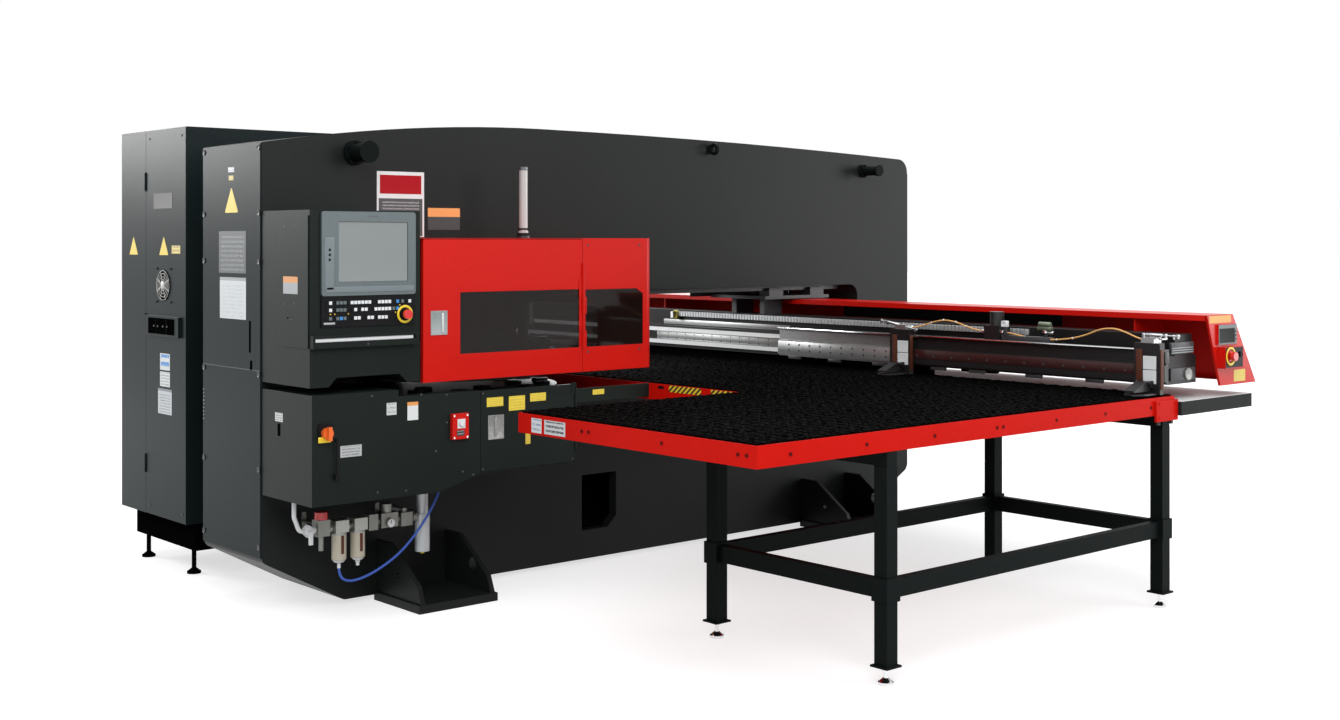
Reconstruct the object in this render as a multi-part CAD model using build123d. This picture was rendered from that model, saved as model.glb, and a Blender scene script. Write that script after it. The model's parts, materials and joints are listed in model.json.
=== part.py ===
from build123d import *
import math
import os

os.makedirs("parts", exist_ok=True)

# All sizes are millimetres. X runs along the bridge frame, Y from the loading side to the rear, Z is up.
# Pieces are modelled from the front plate's lower left corner, at floor level, and then centred.

# Shared clearances and stock
AIR = 0.3
RUNNING = 0.05
SHEET = 4.0
BARREL_R = 4.0

# Bridge frame
FRAME_LENGTH = 4585.0
FRAME_DEPTH = 610.0
PLATE = 60.0
WEB = 40.0
FRAME_BOTTOM = 25.0
LEFT_HEIGHT = 2210.0
PEAK_HEIGHT = 2345.0
PEAK_X = 1600.0
RIGHT_HEIGHT = 2279.0
TOP_CORNER_R = 85.0
LOWER_CORNER_R = 45.0
CORNER_CUT_X = 430.0
CORNER_CUT_Z = 260.0
THROAT_LEFT = 500.0
RIGHT_JAMB = 485.0
THROAT_RIGHT = FRAME_LENGTH - RIGHT_JAMB
THROAT_BOTTOM = 900.0
THROAT_TOP = 1475.0
THROAT_R = 70.0
SCRAP_DOOR_X = 1880.0
SCRAP_DOOR_Z = 180.0
SCRAP_DOOR_WIDTH = 240.0
SCRAP_DOOR_HEIGHT = 300.0
END_COVER = 6.0
END_COVER_BOTTOM = 280.0

# Foot brackets
BRACKET_XS = (595.0, FRAME_LENGTH - 1008.0)
BRACKET_WIDTH = 444.0
BRACKET_REACH = 413.0
BRACKET_BASE = 40.0
GUSSET = 25.0
GUSSET_HEIGHT = 290.0

# Lifting lugs
BIG_LUG_X = 486.0
SMALL_LUG_IN = 435.0
EYE_BEYOND_PEAK = 1226.0
LUG_DROP = 102.0

# Turrets, tools and striker
TURRET_X = 1170.0
TURRET_R = 615.0
TRACK_R = 540.0
INNER_TRACK_R = 390.0
STATIONS = 16
INNER_STATIONS = 8
UPPER_DISC_BOTTOM = 1062.0
UPPER_DISC = 118.0
TOOL_R = 44.0
TOOL_HEIGHT = 60.0
TOOL_HEAD_R = 28.0
TOOL_HEAD = 50.0
DIE_TOP = 1016.0
DIE_HEIGHT = 16.0
LOWER_DISC = 65.0
HUB_R = 150.0
UPPER_SHAFT_R = 80.0
LOWER_SHAFT_R = 70.0
BEARING_DEPTH = 145.0
STROKE = 37.0
STRIKER_R = 60.0
STRIKER_LENGTH = 595.0
RAM_UNIT = 220.0
RAM_UNIT_DROP = 55.0
RAM_UNIT_HEIGHT = 480.0

# Tables
TABLE_TOP = 1010.0
BRUSH_TOP = 1020.0
APRON = 85.0
APRON_WALL = 8.0
BRUSH_PITCH = 58.0
BRUSH_STRIP = 34.0
BRUSH_RELIEF = 14.0
TABLE_LEFT = 610.0
TABLE_RIGHT = FRAME_LENGTH - 1175.0
TABLE_FRONT = -2650.0
TABLE_BACK = -1180.0
CENTRE_LEFT = 1950.0
REAR_TABLE_LEFT = 1480.0
LEG = 65.0
LEG_FRONT_Y = -2612.0
LEG_BACK_Y = -1633.0
LEG_RIGHT_X = TABLE_RIGHT - 65.0
LEG_LEFT_X = 1360.0
REAR_LEG_LEFT_X = 1640.0
LEG_BOTTOM = 70.0
BEAM_SECTION = 60.0
BRACE_HEIGHT = 75.0
BRACE_WIDTH = 40.0
BRACE_BOTTOM = 340.0
COLLAR = 8.0
SHELF_RIGHT = TABLE_RIGHT + 675.0
SHELF_TOP = 983.0
SHELF_DEPTH = 68.0
SHELF_FRONT = -2680.0

# Travelling carriage
BEAM_LEFT = TABLE_RIGHT - 40.0
BEAM_WIDTH = 250.0
BEAM_BOTTOM = 1062.0
BEAM_TOP = 1200.0
BEAM_WALL = 12.0
BEAM_FRONT = -2640.0
RIB_INSET = 60.0
RIB_WIDTH = 150.0
RIB_TOP = 1300.0
RAIL = 28.0
BASE_RAIL_YS = (110.0, 500.0)
BLOCK_HEIGHT = 47.0
SADDLE = 20.0
SADDLE_LEFT = BEAM_LEFT - 30.0
SADDLE_RIGHT = BEAM_LEFT + 530.0
SADDLE_BOTTOM = 1395.0
FACE_RAIL_ZS = (1096.0, 1176.0)
FACE_RAIL = 24.0
FACE_RAIL_DEPTH = 20.0
BAR_WEB = 20.0
BAR_GAP = 10.0
BAR_BOTTOM = 1068.0
BAR_TOP = 1235.0
BAR_FRONT = -2660.0
BAR_LENGTH = 2580.0
BAND_BOTTOM = 1078.0
BAND_TOP = 1160.0
BAND = 15.0
LIP = 12.0
LIP_OVERHANG = 20.0
RACK_BOTTOM = 1262.0
RACK_HEIGHT = 30.0
RACK_DEPTH = 25.0
RACK_MODULE = 8.0
RACK_FRONT = -1800.0
RACK_BACK = 960.0
COVER_LEFT = BEAM_LEFT + 230.0
COVER_TOP = 1390.0
COVER_ROOF = 242.0
COVER_RIGHT = BEAM_LEFT + 696.0
COVER_FOOT = 1042.0
COVER_LIP = 28.0
COVER_FRONT = -2700.0
COVER_END = 12.0

# Clamps
CLAMP_YS = (-1060.0, -2590.0)
CLAMP_WIDTH = 140.0
CLAMP_THICK = 34.0
CLAMP_BOTTOM = 1022.0
CLAMP_TOP = 1265.0
JAW_REACH = 160.0
JAW = 8.0
MOUTH = 8.0
PIVOT_R = 8.0
PIVOT_RISE = 37.0
PIVOT_BACK = 25.0

# Operator's console and the lower box
CONSOLE_WIDTH = 567.0
CONSOLE_DEPTH = 460.0
CONSOLE_BOTTOM = 1100.0
CONSOLE_TOP = 1890.0
BOX_DEPTH = 480.0
BOX_BOTTOM = 576.0
BOX_TOP = 1068.0
BOX_STEP_X = 440.0
BOX_STEP_TOP = 1036.0
BOX_SLOPE_X = 665.0
BOX_END = 891.0
BOX_END_BOTTOM = 640.0
DOOR_RIGHT = 1459.0
FASCIA_BOTTOM = 939.0

# Turret guards
GUARD_BOTTOM = 1090.0
GUARD_TOP = 1765.0
GUARD_SHEET = 3.0
GUARD_LEFT = 585.0
GUARD_SEAM = 1525.0
GUARD_RIGHT = 1992.0
GUARD_BEND_R = 40.0
WINDOW_BOTTOM = 1215.0
WINDOW_TOP = 1508.0
WINDOW_LEFT = 790.0
WINDOW_MARGIN = 20.0
PANE = 4.0
PANE_LAP = 15.0

# Electrical cabinet
CABINET_LEFT = 100.0
CABINET_RIGHT = 1400.0
CABINET_FRONT = 1045.0
CABINET_BACK = 1880.0
CABINET_BOTTOM = 280.0
CABINET_TOP = 2345.0
CABINET_SPLIT = 1550.0
PLINTH_BOTTOM = 130.0
FAN_Y = 1317.0
FAN_Z = 1516.0
FAN_R = 84.0

# Buttons
ESTOP_R = 22.0
ESTOP_STEM_R = 9.0
ESTOP_TRAVEL = 5.0
START_TRAVEL = 3.0

# Derived levels and places
MID_Y = FRAME_DEPTH / 2
STRIKE_X = TURRET_X + TRACK_R
UPPER_DISC_TOP = UPPER_DISC_BOTTOM + UPPER_DISC
TOOL_TOP = UPPER_DISC_TOP + TOOL_HEIGHT + TOOL_HEAD
LOWER_DISC_TOP = DIE_TOP - DIE_HEIGHT
LOWER_DISC_BOTTOM = LOWER_DISC_TOP - LOWER_DISC
BAR_BACK = BEAM_LEFT - FACE_RAIL_DEPTH - BAR_GAP
BAR_FACE = BAR_BACK - BAR_WEB
BAND_FACE = BAR_FACE - BAND
LIP_FACE = BAR_FACE - LIP_OVERHANG
CLAMP_BACK = LIP_FACE
CLAMP_FACE = CLAMP_BACK - CLAMP_THICK
PIVOT_X = CLAMP_FACE - PIVOT_BACK
JAW_TOP = CLAMP_BOTTOM + JAW
UPPER_JAW_BOTTOM = JAW_TOP + MOUTH
PIVOT_Z = UPPER_JAW_BOTTOM + PIVOT_RISE
RIB_LEFT = BEAM_LEFT + RIB_INSET
APRON_BOTTOM = TABLE_TOP - APRON
PANEL_FRONT = COVER_FRONT - COVER_END
SWITCH_BOX = 40.0
ESTOP_HEAD = 23.0
FRONT_REACH = PANEL_FRONT - SWITCH_BOX - 3 - ESTOP_TRAVEL - AIR - ESTOP_HEAD
REAR_REACH = FRAME_DEPTH - PANEL_FRONT

# The origin: on the floor, under the middle of the whole machine
PLACE = Pos(-FRAME_LENGTH / 2, -(FRONT_REACH + REAR_REACH) / 2, 0)
MID_PLANE = Plane.XZ.offset(-MID_Y)


def save(name, *shapes):
    """Write the solids of one node, moved to the machine's own origin."""
    placed = []
    for shape in shapes:
        for solid in (PLACE * shape).solids():
            placed.append(solid)
    export_step(placed[0] if len(placed) == 1 else Compound(children=placed), "parts/" + name + ".step")


def block(x0, x1, y0, y1, z0, z1):
    return Pos((x0 + x1) / 2, (y0 + y1) / 2, (z0 + z1) / 2) * Box(x1 - x0, y1 - y0, z1 - z0)


def post(x, y, z0, z1, r):
    return Pos(x, y, (z0 + z1) / 2) * Cylinder(r, z1 - z0)


def rod_x(x0, x1, y, z, r):
    return Pos((x0 + x1) / 2, y, z) * Rot(0, 90, 0) * Cylinder(r, x1 - x0)


def rod_y(x, y0, y1, z, r):
    return Pos(x, (y0 + y1) / 2, z) * Rot(90, 0, 0) * Cylinder(r, y1 - y0)


def face(*points):
    return make_face(Polyline(*points, close=True))


def slab_xz(sketch, y0, y1):
    return extrude(Plane.XZ.offset(-y1) * sketch, y1 - y0)


def slab_yz(sketch, x0, x1):
    return extrude(Plane.YZ.offset(x0) * sketch, x1 - x0)


def slab_xy(sketch, z0, z1):
    return extrude(Plane.XY.offset(z0) * sketch, z1 - z0)


def mirrored(shape):
    return mirror(shape, about=MID_PLANE)


def folded(points, t):
    """The section of a folded sheet: its outer line, thickened to the left of its run."""
    inner = offset(Polyline(*points), amount=t, side=Side.LEFT, closed=True)
    return make_face(inner.edges())


# Bridge frame: two identical plates joined by webs that follow their outline and the throat

def crest(x):
    """Height of the frame's top edge over a place along it."""
    if x < PEAK_X:
        share = (PEAK_X - x) / PEAK_X
        return PEAK_HEIGHT - (PEAK_HEIGHT - LEFT_HEIGHT) * share**2
    share = (x - PEAK_X) / (FRAME_LENGTH - PEAK_X)
    return PEAK_HEIGHT - (PEAK_HEIGHT - RIGHT_HEIGHT) * share**2


def frame_outline(inset):
    """The frame's side view, moved inwards by the inset all round."""
    top_left = (inset, LEFT_HEIGHT - inset)
    peak = (PEAK_X, PEAK_HEIGHT - inset)
    top_right = (FRAME_LENGTH - inset, RIGHT_HEIGHT - inset)
    left = ThreePointArc(top_left, (PEAK_X / 2, crest(PEAK_X / 2) - inset), peak)
    middle_x = (PEAK_X + FRAME_LENGTH) / 2
    right = ThreePointArc(peak, (middle_x, crest(middle_x) - inset), top_right)
    slope = math.atan2(CORNER_CUT_X, CORNER_CUT_Z - FRAME_BOTTOM)
    cut_z = CORNER_CUT_Z + inset * math.tan(slope / 2)
    cut_x = CORNER_CUT_X + inset * math.tan(math.pi / 4 - slope / 2)
    bottom = FRAME_BOTTOM + inset
    rest = Polyline(
        top_right,
        (FRAME_LENGTH - inset, cut_z),
        (FRAME_LENGTH - cut_x, bottom),
        (cut_x, bottom),
        (inset, cut_z),
        top_left,
    )
    outline = make_face(left.edges() + right.edges() + rest.edges())
    upper = outline.vertices().filter_by(lambda v: v.X > FRAME_LENGTH - inset - 1 and v.Y > THROAT_TOP)
    outline = fillet(upper, TOP_CORNER_R - inset)
    lower = outline.vertices().filter_by(lambda v: v.Y < THROAT_BOTTOM)
    return fillet(lower, LOWER_CORNER_R - inset)


def throat(grow):
    """The sheet throat's rounded window, made larger all round."""
    width = THROAT_RIGHT - THROAT_LEFT
    height = THROAT_TOP - THROAT_BOTTOM
    shape = RectangleRounded(width + 2 * grow, height + 2 * grow, THROAT_R + grow)
    return Pos(THROAT_LEFT + width / 2, THROAT_BOTTOM + height / 2) * shape


def scrap_door():
    """The scrap opening of the front plate, with one lower corner cut off."""
    right = SCRAP_DOOR_X + SCRAP_DOOR_WIDTH
    top = SCRAP_DOOR_Z + SCRAP_DOOR_HEIGHT
    cut = SCRAP_DOOR_WIDTH / 4
    return face(
        (SCRAP_DOOR_X, SCRAP_DOOR_Z),
        (right - cut, SCRAP_DOOR_Z),
        (right, SCRAP_DOOR_Z + cut),
        (right, top),
        (SCRAP_DOOR_X, top),
    )


CHUTE = 116.0
CHUTE_WALL = 4.0
CHUTE_LIP = 150.0
LOWER_BEARING_R = 128.0
window = throat(0)
plate_face = frame_outline(0) - window
rim = frame_outline(0) - frame_outline(WEB)
rim += throat(WEB) - window
floor_left = THROAT_LEFT + THROAT_R
floor_right = THROAT_RIGHT - THROAT_R
floor_bottom = THROAT_BOTTOM - WEB
frame = slab_xz(rim, PLATE, FRAME_DEPTH - PLATE)
frame -= block(floor_left, floor_right, PLATE, FRAME_DEPTH - PLATE, floor_bottom - 1, THROAT_BOTTOM + 1)
frame += slab_xz(plate_face, 0, PLATE)
frame += slab_xz(plate_face, FRAME_DEPTH - PLATE, FRAME_DEPTH)
throat_floor = block(floor_left, floor_right, PLATE, FRAME_DEPTH - PLATE, floor_bottom, THROAT_BOTTOM)
frame -= block(-1, WEB + 1, PLATE, FRAME_DEPTH - PLATE, CORNER_CUT_Z + WEB, LEFT_HEIGHT - WEB)
frame -= slab_xz(scrap_door(), -1, PLATE + 1)
half = RAM_UNIT / 2 + 2
frame -= block(
    STRIKE_X - half, STRIKE_X + half, MID_Y - half, MID_Y + half, THROAT_TOP - 1, THROAT_TOP + WEB + 1
)
frame -= post(TURRET_X, MID_Y, THROAT_TOP - 1, THROAT_TOP + WEB + 1, UPPER_SHAFT_R + 12)
throat_floor -= post(TURRET_X, MID_Y, floor_bottom - 1, THROAT_BOTTOM + 1, LOWER_BEARING_R + 2)
half = CHUTE / 2 + 2
throat_floor -= block(
    STRIKE_X - half, STRIKE_X + half, MID_Y - half, MID_Y + half, floor_bottom - 1, THROAT_BOTTOM + 1
)
save("bridge_frame", frame, throat_floor)

cover_low = END_COVER_BOTTOM
left_cover = block(-END_COVER, 0, 2, FRAME_DEPTH - 2, cover_low, LEFT_HEIGHT - 4)
left_cover -= block(-END_COVER - 1, 1, 98, 112, 1232, 1375)
left_cover -= post(-END_COVER, 92, 1150, 1190, 6)
right_cover = block(
    FRAME_LENGTH, FRAME_LENGTH + END_COVER, 2, FRAME_DEPTH - 2, cover_low, RIGHT_HEIGHT - TOP_CORNER_R - 5
)
save("end_covers", left_cover, right_cover)


# Foot brackets: a floor plate with two sloping gussets, two at the front and two at the rear

def foot_bracket(x, near_hole, far_hole):
    bracket = block(x, x + BRACKET_WIDTH, -BRACKET_REACH, 0, 0, BRACKET_BASE)
    side = face(
        (0, BRACKET_BASE),
        (0, GUSSET_HEIGHT),
        (-0.3 * BRACKET_REACH, GUSSET_HEIGHT),
        (-0.9 * BRACKET_REACH, GUSSET_HEIGHT * 0.42),
        (-BRACKET_REACH + 6, BRACKET_BASE),
    )
    near = slab_yz(
        side - Pos(-0.48 * BRACKET_REACH, 0.5 * GUSSET_HEIGHT) * Circle(near_hole), x + 12, x + 12 + GUSSET
    )
    far_x = x + BRACKET_WIDTH - 12 - GUSSET
    far = slab_yz(
        side - Pos(-0.6 * BRACKET_REACH, 0.55 * GUSSET_HEIGHT) * Circle(far_hole), far_x, far_x + GUSSET
    )
    for hole_x in (x + BRACKET_WIDTH * 0.3, x + BRACKET_WIDTH * 0.7):
        bracket -= post(hole_x, -BRACKET_REACH + 50, -1, BRACKET_BASE + 1, 14)
    return bracket + near + far


front_brackets = [foot_bracket(x, 16, 30) for x in BRACKET_XS]
save("foot_brackets", *front_brackets, *[mirrored(b) for b in front_brackets])


# Lifting trunnions and small eye lugs on the upper beam

def trunnion(x, z, r):
    lug = rod_y(x, -20, 0, z, r * 1.35)
    lug += rod_y(x, -130, -20, z, r)
    lug += rod_y(x, -145, -130, z, r * 1.2)
    for k in range(6):
        angle = math.radians(60 * k + 30)
        lug += rod_y(x + r * 1.17 * math.cos(angle), -28, -20, z + r * 1.17 * math.sin(angle), 6)
    return lug


def eye_lug(x, z):
    eye = Pos(x, 0, z) * Rot(0, 0, 90) * (Rot(90, 0, 0) * Cylinder(34, 16) - Rot(90, 0, 0) * Cylinder(17, 20))
    return eye.moved(Location((0, -36, 0))) + rod_y(x, -6, 0, z, 26)


big_lug = trunnion(BIG_LUG_X, crest(BIG_LUG_X) - LUG_DROP, 44)
small_lug = trunnion(FRAME_LENGTH - SMALL_LUG_IN, crest(FRAME_LENGTH - SMALL_LUG_IN) - LUG_DROP, 30)
eye = eye_lug(PEAK_X + EYE_BEYOND_PEAK, crest(PEAK_X + EYE_BEYOND_PEAK) - LUG_DROP / 2)
lugs = [big_lug, small_lug, eye]
save("lifting_lugs", *lugs, *[mirrored(lug) for lug in lugs])


# Turret bearings, turrets, tools and dies

def station_places(track_r, count, skip_first):
    for k in range(1 if skip_first else 0, count):
        angle = 2 * math.pi * k / count
        yield TURRET_X + track_r * math.cos(angle), MID_Y + track_r * math.sin(angle)


upper_bearing = post(TURRET_X, MID_Y, THROAT_TOP - BEARING_DEPTH, THROAT_TOP, HUB_R + 20)
upper_bearing += post(TURRET_X, MID_Y, THROAT_TOP - 20, THROAT_TOP, HUB_R + 60)
upper_bearing -= post(
    TURRET_X, MID_Y, THROAT_TOP - BEARING_DEPTH - 1, THROAT_TOP + 1, UPPER_SHAFT_R + RUNNING
)
lower_bearing = post(TURRET_X, MID_Y, THROAT_BOTTOM, THROAT_BOTTOM + 12, HUB_R + 20)
lower_bearing += post(TURRET_X, MID_Y, THROAT_BOTTOM - 160, THROAT_BOTTOM, LOWER_BEARING_R)
lower_bearing -= post(TURRET_X, MID_Y, THROAT_BOTTOM - 161, THROAT_BOTTOM + 13, LOWER_SHAFT_R + RUNNING)
save("turret_bearings", upper_bearing, lower_bearing)

upper_turret = post(TURRET_X, MID_Y, UPPER_DISC_BOTTOM, UPPER_DISC_TOP, TURRET_R)
upper_turret += post(TURRET_X, MID_Y, UPPER_DISC_TOP, THROAT_TOP - BEARING_DEPTH - 20, HUB_R)
upper_turret += post(TURRET_X, MID_Y, UPPER_DISC_TOP, THROAT_TOP + WEB - AIR, UPPER_SHAFT_R)
upper_turret -= post(STRIKE_X, MID_Y, UPPER_DISC_BOTTOM - 1, UPPER_DISC_TOP + 1, TOOL_R + RUNNING)
save("upper_turret", upper_turret)

tools = []
for track_r, count, first in ((TRACK_R, STATIONS, True), (INNER_TRACK_R, INNER_STATIONS, False)):
    for x, y in station_places(track_r, count, first):
        tool = post(x, y, UPPER_DISC_TOP, UPPER_DISC_TOP + TOOL_HEIGHT, TOOL_R)
        tools.append(tool + post(x, y, UPPER_DISC_TOP + TOOL_HEIGHT, TOOL_TOP - STROKE - 2, TOOL_HEAD_R))
save("punch_tools", *tools)

punch = post(STRIKE_X, MID_Y, UPPER_DISC_BOTTOM, UPPER_DISC_TOP + TOOL_HEIGHT, TOOL_R)
punch += post(STRIKE_X, MID_Y, UPPER_DISC_TOP + TOOL_HEIGHT, TOOL_TOP, TOOL_HEAD_R)
punch += post(STRIKE_X, MID_Y, DIE_TOP + STROKE - 8, UPPER_DISC_BOTTOM, 10)
save("active_punch", punch)

lower_turret = post(TURRET_X, MID_Y, LOWER_DISC_BOTTOM, LOWER_DISC_TOP, TURRET_R)
lower_turret += post(TURRET_X, MID_Y, THROAT_BOTTOM + 12 + AIR, LOWER_DISC_BOTTOM, HUB_R)
lower_turret += post(TURRET_X, MID_Y, THROAT_BOTTOM - 155, LOWER_DISC_BOTTOM, LOWER_SHAFT_R)
lower_turret -= post(STRIKE_X, MID_Y, LOWER_DISC_BOTTOM - 1, LOWER_DISC_TOP + 1, 20)
save("lower_turret", lower_turret)

dies = []
for track_r, count in ((TRACK_R, STATIONS), (INNER_TRACK_R, INNER_STATIONS)):
    for x, y in station_places(track_r, count, False):
        dies.append(
            post(x, y, LOWER_DISC_TOP, DIE_TOP, TOOL_R) - post(x, y, LOWER_DISC_TOP - 1, DIE_TOP + 1, 12)
        )
save("active_die", dies[0])
save("die_set", *dies[1:])

# Striker and its unit, hung through the flange of the upper beam
unit_bottom = THROAT_TOP - RAM_UNIT_DROP
unit_top = unit_bottom + RAM_UNIT_HEIGHT
half = RAM_UNIT / 2
ram_unit = block(STRIKE_X - half, STRIKE_X + half, MID_Y - half, MID_Y + half, unit_bottom, unit_top)
half = RAM_UNIT / 2 + 40
ram_unit += block(STRIKE_X - half, STRIKE_X + half, MID_Y - half, MID_Y + half, THROAT_TOP - 20, THROAT_TOP)
striker_top = TOOL_TOP + 0.5 + STRIKER_LENGTH
ram_unit -= post(STRIKE_X, MID_Y, unit_bottom - 1, striker_top + 4, STRIKER_R + RUNNING)
save("ram_unit", ram_unit)
striker = post(STRIKE_X, MID_Y, TOOL_TOP + 0.5, striker_top, STRIKER_R)
save("striker", striker)

ram_motor = rod_x(STRIKE_X + RAM_UNIT / 2, STRIKE_X + RAM_UNIT / 2 + 320, MID_Y, unit_top - 150, 110)
gear_top = THROAT_TOP + WEB + 140
turret_motor = block(TURRET_X - 120, TURRET_X + 120, MID_Y - 120, MID_Y + 120, THROAT_TOP + WEB, gear_top)
turret_motor += post(TURRET_X, MID_Y, gear_top, gear_top + 290, 85)
save("drive_motors", ram_motor, turret_motor)

# Scrap chute below the die: a square collar through the flange, then a widening duct to the scrap door
half = CHUTE / 2
neck = THROAT_BOTTOM - WEB
chute_top = Plane.XY.offset(neck) * Pos(STRIKE_X, MID_Y)
chute_end = Plane.XY.offset(SCRAP_DOOR_Z + SCRAP_DOOR_HEIGHT) * Pos(
    SCRAP_DOOR_X + SCRAP_DOOR_WIDTH / 2, MID_Y
)
inner = CHUTE - 2 * CHUTE_WALL
end_width = SCRAP_DOOR_WIDTH - 40
end_depth = end_width * 1.5
end_inner = end_depth - 2 * CHUTE_WALL
walls = []
for side in (-1, 1):
    top_wall = chute_top * Pos(0, side * (CHUTE - CHUTE_WALL) / 2) * Rectangle(CHUTE, CHUTE_WALL)
    end_wall = chute_end * Pos(0, side * (end_depth - CHUTE_WALL) / 2) * Rectangle(end_width, CHUTE_WALL)
    walls.append(loft([top_wall, end_wall]))
    top_wall = chute_top * Pos(side * (CHUTE - CHUTE_WALL) / 2, 0) * Rectangle(CHUTE_WALL, inner)
    end_wall = chute_end * Pos(side * (end_width - CHUTE_WALL) / 2, 0) * Rectangle(CHUTE_WALL, end_inner)
    walls.append(loft([top_wall, end_wall]))
collar = slab_xy(
    Pos(STRIKE_X, MID_Y) * (Rectangle(CHUTE, CHUTE) - Rectangle(inner, inner)), neck, THROAT_BOTTOM
)
chute_rim = Rectangle(CHUTE_LIP, CHUTE_LIP) - Rectangle(inner, inner)
collar += slab_xy(Pos(STRIKE_X, MID_Y) * chute_rim, THROAT_BOTTOM, THROAT_BOTTOM + 5)
save("scrap_chute", collar, *walls)


# Table tops: apron rims round a deck, with mats of brush strips on the deck
DECK_TOP = TABLE_TOP - 45
DECK = 10.0
MAT_BASE = BRUSH_TOP - BRUSH_RELIEF


def tray(x0, x1, y0, y1):
    inside = APRON_WALL
    rim = block(x0, x1, y0, y1, APRON_BOTTOM, TABLE_TOP)
    rim -= block(x0 + inside, x1 - inside, y0 + inside, y1 - inside, APRON_BOTTOM - 1, TABLE_TOP + 1)
    return rim + block(x0 + 1, x1 - 1, y0 + 1, y1 - 1, DECK_TOP - DECK, DECK_TOP)


def brush_mat(x0, x1, y0, y1):
    x0, x1, y0, y1 = x0 + APRON_WALL, x1 - APRON_WALL, y0 + APRON_WALL, y1 - APRON_WALL
    mat = block(x0, x1, y0, y1, DECK_TOP, MAT_BASE)
    count = int((y1 - y0) / BRUSH_PITCH)
    margin = (y1 - y0 - (count - 1) * BRUSH_PITCH) / 2
    strips = []
    for k in range(count):
        y = y0 + margin + k * BRUSH_PITCH
        strips.append(block(x0, x1, y - BRUSH_STRIP / 2, y + BRUSH_STRIP / 2, MAT_BASE - 1, BRUSH_TOP))
    return mat.fuse(*strips)


CENTRE_BACK = FRAME_DEPTH - TABLE_BACK
centre_table = tray(CENTRE_LEFT, TABLE_RIGHT, TABLE_BACK, CENTRE_BACK)
for x in (CENTRE_LEFT + 80, TABLE_RIGHT - 140):
    centre_table += block(x, x + BEAM_SECTION, 2, FRAME_DEPTH - 2, THROAT_BOTTOM, DECK_TOP - DECK + 1)
save("centre_table", centre_table)

front_table = tray(TABLE_LEFT, TABLE_RIGHT, TABLE_FRONT, TABLE_BACK)
corner = TABLE_RIGHT + 12
front_table += block(
    TABLE_RIGHT - 175, corner, TABLE_FRONT - 12, TABLE_FRONT, APRON_BOTTOM - 30, TABLE_TOP - 16
)
front_table += block(
    TABLE_RIGHT, corner, TABLE_FRONT - 12, TABLE_FRONT + 120, APRON_BOTTOM - 30, TABLE_TOP - 16
)
rear_table = tray(REAR_TABLE_LEFT, TABLE_RIGHT, CENTRE_BACK, FRAME_DEPTH - TABLE_FRONT)
save("side_tables", front_table, rear_table)
mats = [
    brush_mat(CENTRE_LEFT, TABLE_RIGHT, TABLE_BACK, CENTRE_BACK),
    brush_mat(TABLE_LEFT, TABLE_RIGHT, TABLE_FRONT, TABLE_BACK),
    brush_mat(REAR_TABLE_LEFT, TABLE_RIGHT, CENTRE_BACK, FRAME_DEPTH - TABLE_FRONT),
]
save("brush_mats", *mats)

# Shelf beyond the tables, under the carriage beam
shelf_end = TABLE_BACK + 1175
shelf = block(corner + 1, SHELF_RIGHT, SHELF_FRONT, shelf_end, SHELF_TOP - SHELF_DEPTH, SHELF_TOP)
inside = block(
    corner + 7, SHELF_RIGHT - 6, SHELF_FRONT + 6, shelf_end - 6, SHELF_TOP - SHELF_DEPTH - 1, SHELF_TOP - 6
)
shelf -= inside
shelf += block(TABLE_RIGHT, corner + 2, TABLE_FRONT + 160, shelf_end, SHELF_TOP - SHELF_DEPTH, SHELF_TOP)
save("table_extensions", shelf, mirrored(shelf))


# Table legs, the beams they carry, the braces between their collars, and the levelling feet

def table_leg(x, y):
    half = LEG / 2
    leg = block(x - half, x + half, y - half, y + half, LEG_BOTTOM + 8, APRON_BOTTOM - BEAM_SECTION)
    leg += block(x - half - 12, x + half + 12, y - half - 12, y + half + 12, LEG_BOTTOM, LEG_BOTTOM + 8)
    outer = half + COLLAR
    leg += block(
        x - outer, x + outer, y - outer, y + outer, BRACE_BOTTOM - 10, BRACE_BOTTOM + BRACE_HEIGHT + 10
    )
    return leg


def table_foot(x, y):
    pad = Pos(x, y, 6) * Cylinder(32, 12) + Pos(x, y, 20) * Cone(30, 12, 16)
    return pad + post(x, y, 20, LEG_BOTTOM, 10) + post(x, y, LEG_BOTTOM - 14, LEG_BOTTOM, 16)


def beam(x, y0, y1):
    half = BEAM_SECTION / 2
    return block(x - half, x + half, y0, y1, APRON_BOTTOM - BEAM_SECTION, APRON_BOTTOM)


def brace_x(x0, x1, y):
    reach = LEG / 2 + COLLAR
    top = BRACE_BOTTOM + BRACE_HEIGHT
    return block(x0 + reach, x1 - reach, y - BRACE_WIDTH / 2, y + BRACE_WIDTH / 2, BRACE_BOTTOM, top)


def brace_y(x, y0, y1):
    reach = LEG / 2 + COLLAR
    top = BRACE_BOTTOM + BRACE_HEIGHT
    return block(x - BRACE_WIDTH / 2, x + BRACE_WIDTH / 2, y0 + reach, y1 - reach, BRACE_BOTTOM, top)


legs = []
feet = []
braces = []
LEG_YS = (LEG_FRONT_Y, LEG_BACK_Y)
REAR_YS = (FRAME_DEPTH - LEG_BACK_Y, FRAME_DEPTH - LEG_FRONT_Y)
for left_x, ys in ((LEG_LEFT_X, LEG_YS), (REAR_LEG_LEFT_X, REAR_YS)):
    for x in (left_x, LEG_RIGHT_X):
        legs.extend([beam(x, ys[0] - LEG / 2, ys[1] + LEG / 2), table_leg(x, ys[0]), table_leg(x, ys[1])])
        feet.extend([table_foot(x, ys[0]), table_foot(x, ys[1])])
        braces.append(brace_y(x, *ys))
    for y in ys:
        braces.append(brace_x(left_x, LEG_RIGHT_X, y))
save("table_legs", *legs)
save("table_feet", *feet)
save("table_braces", *braces)


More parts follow.
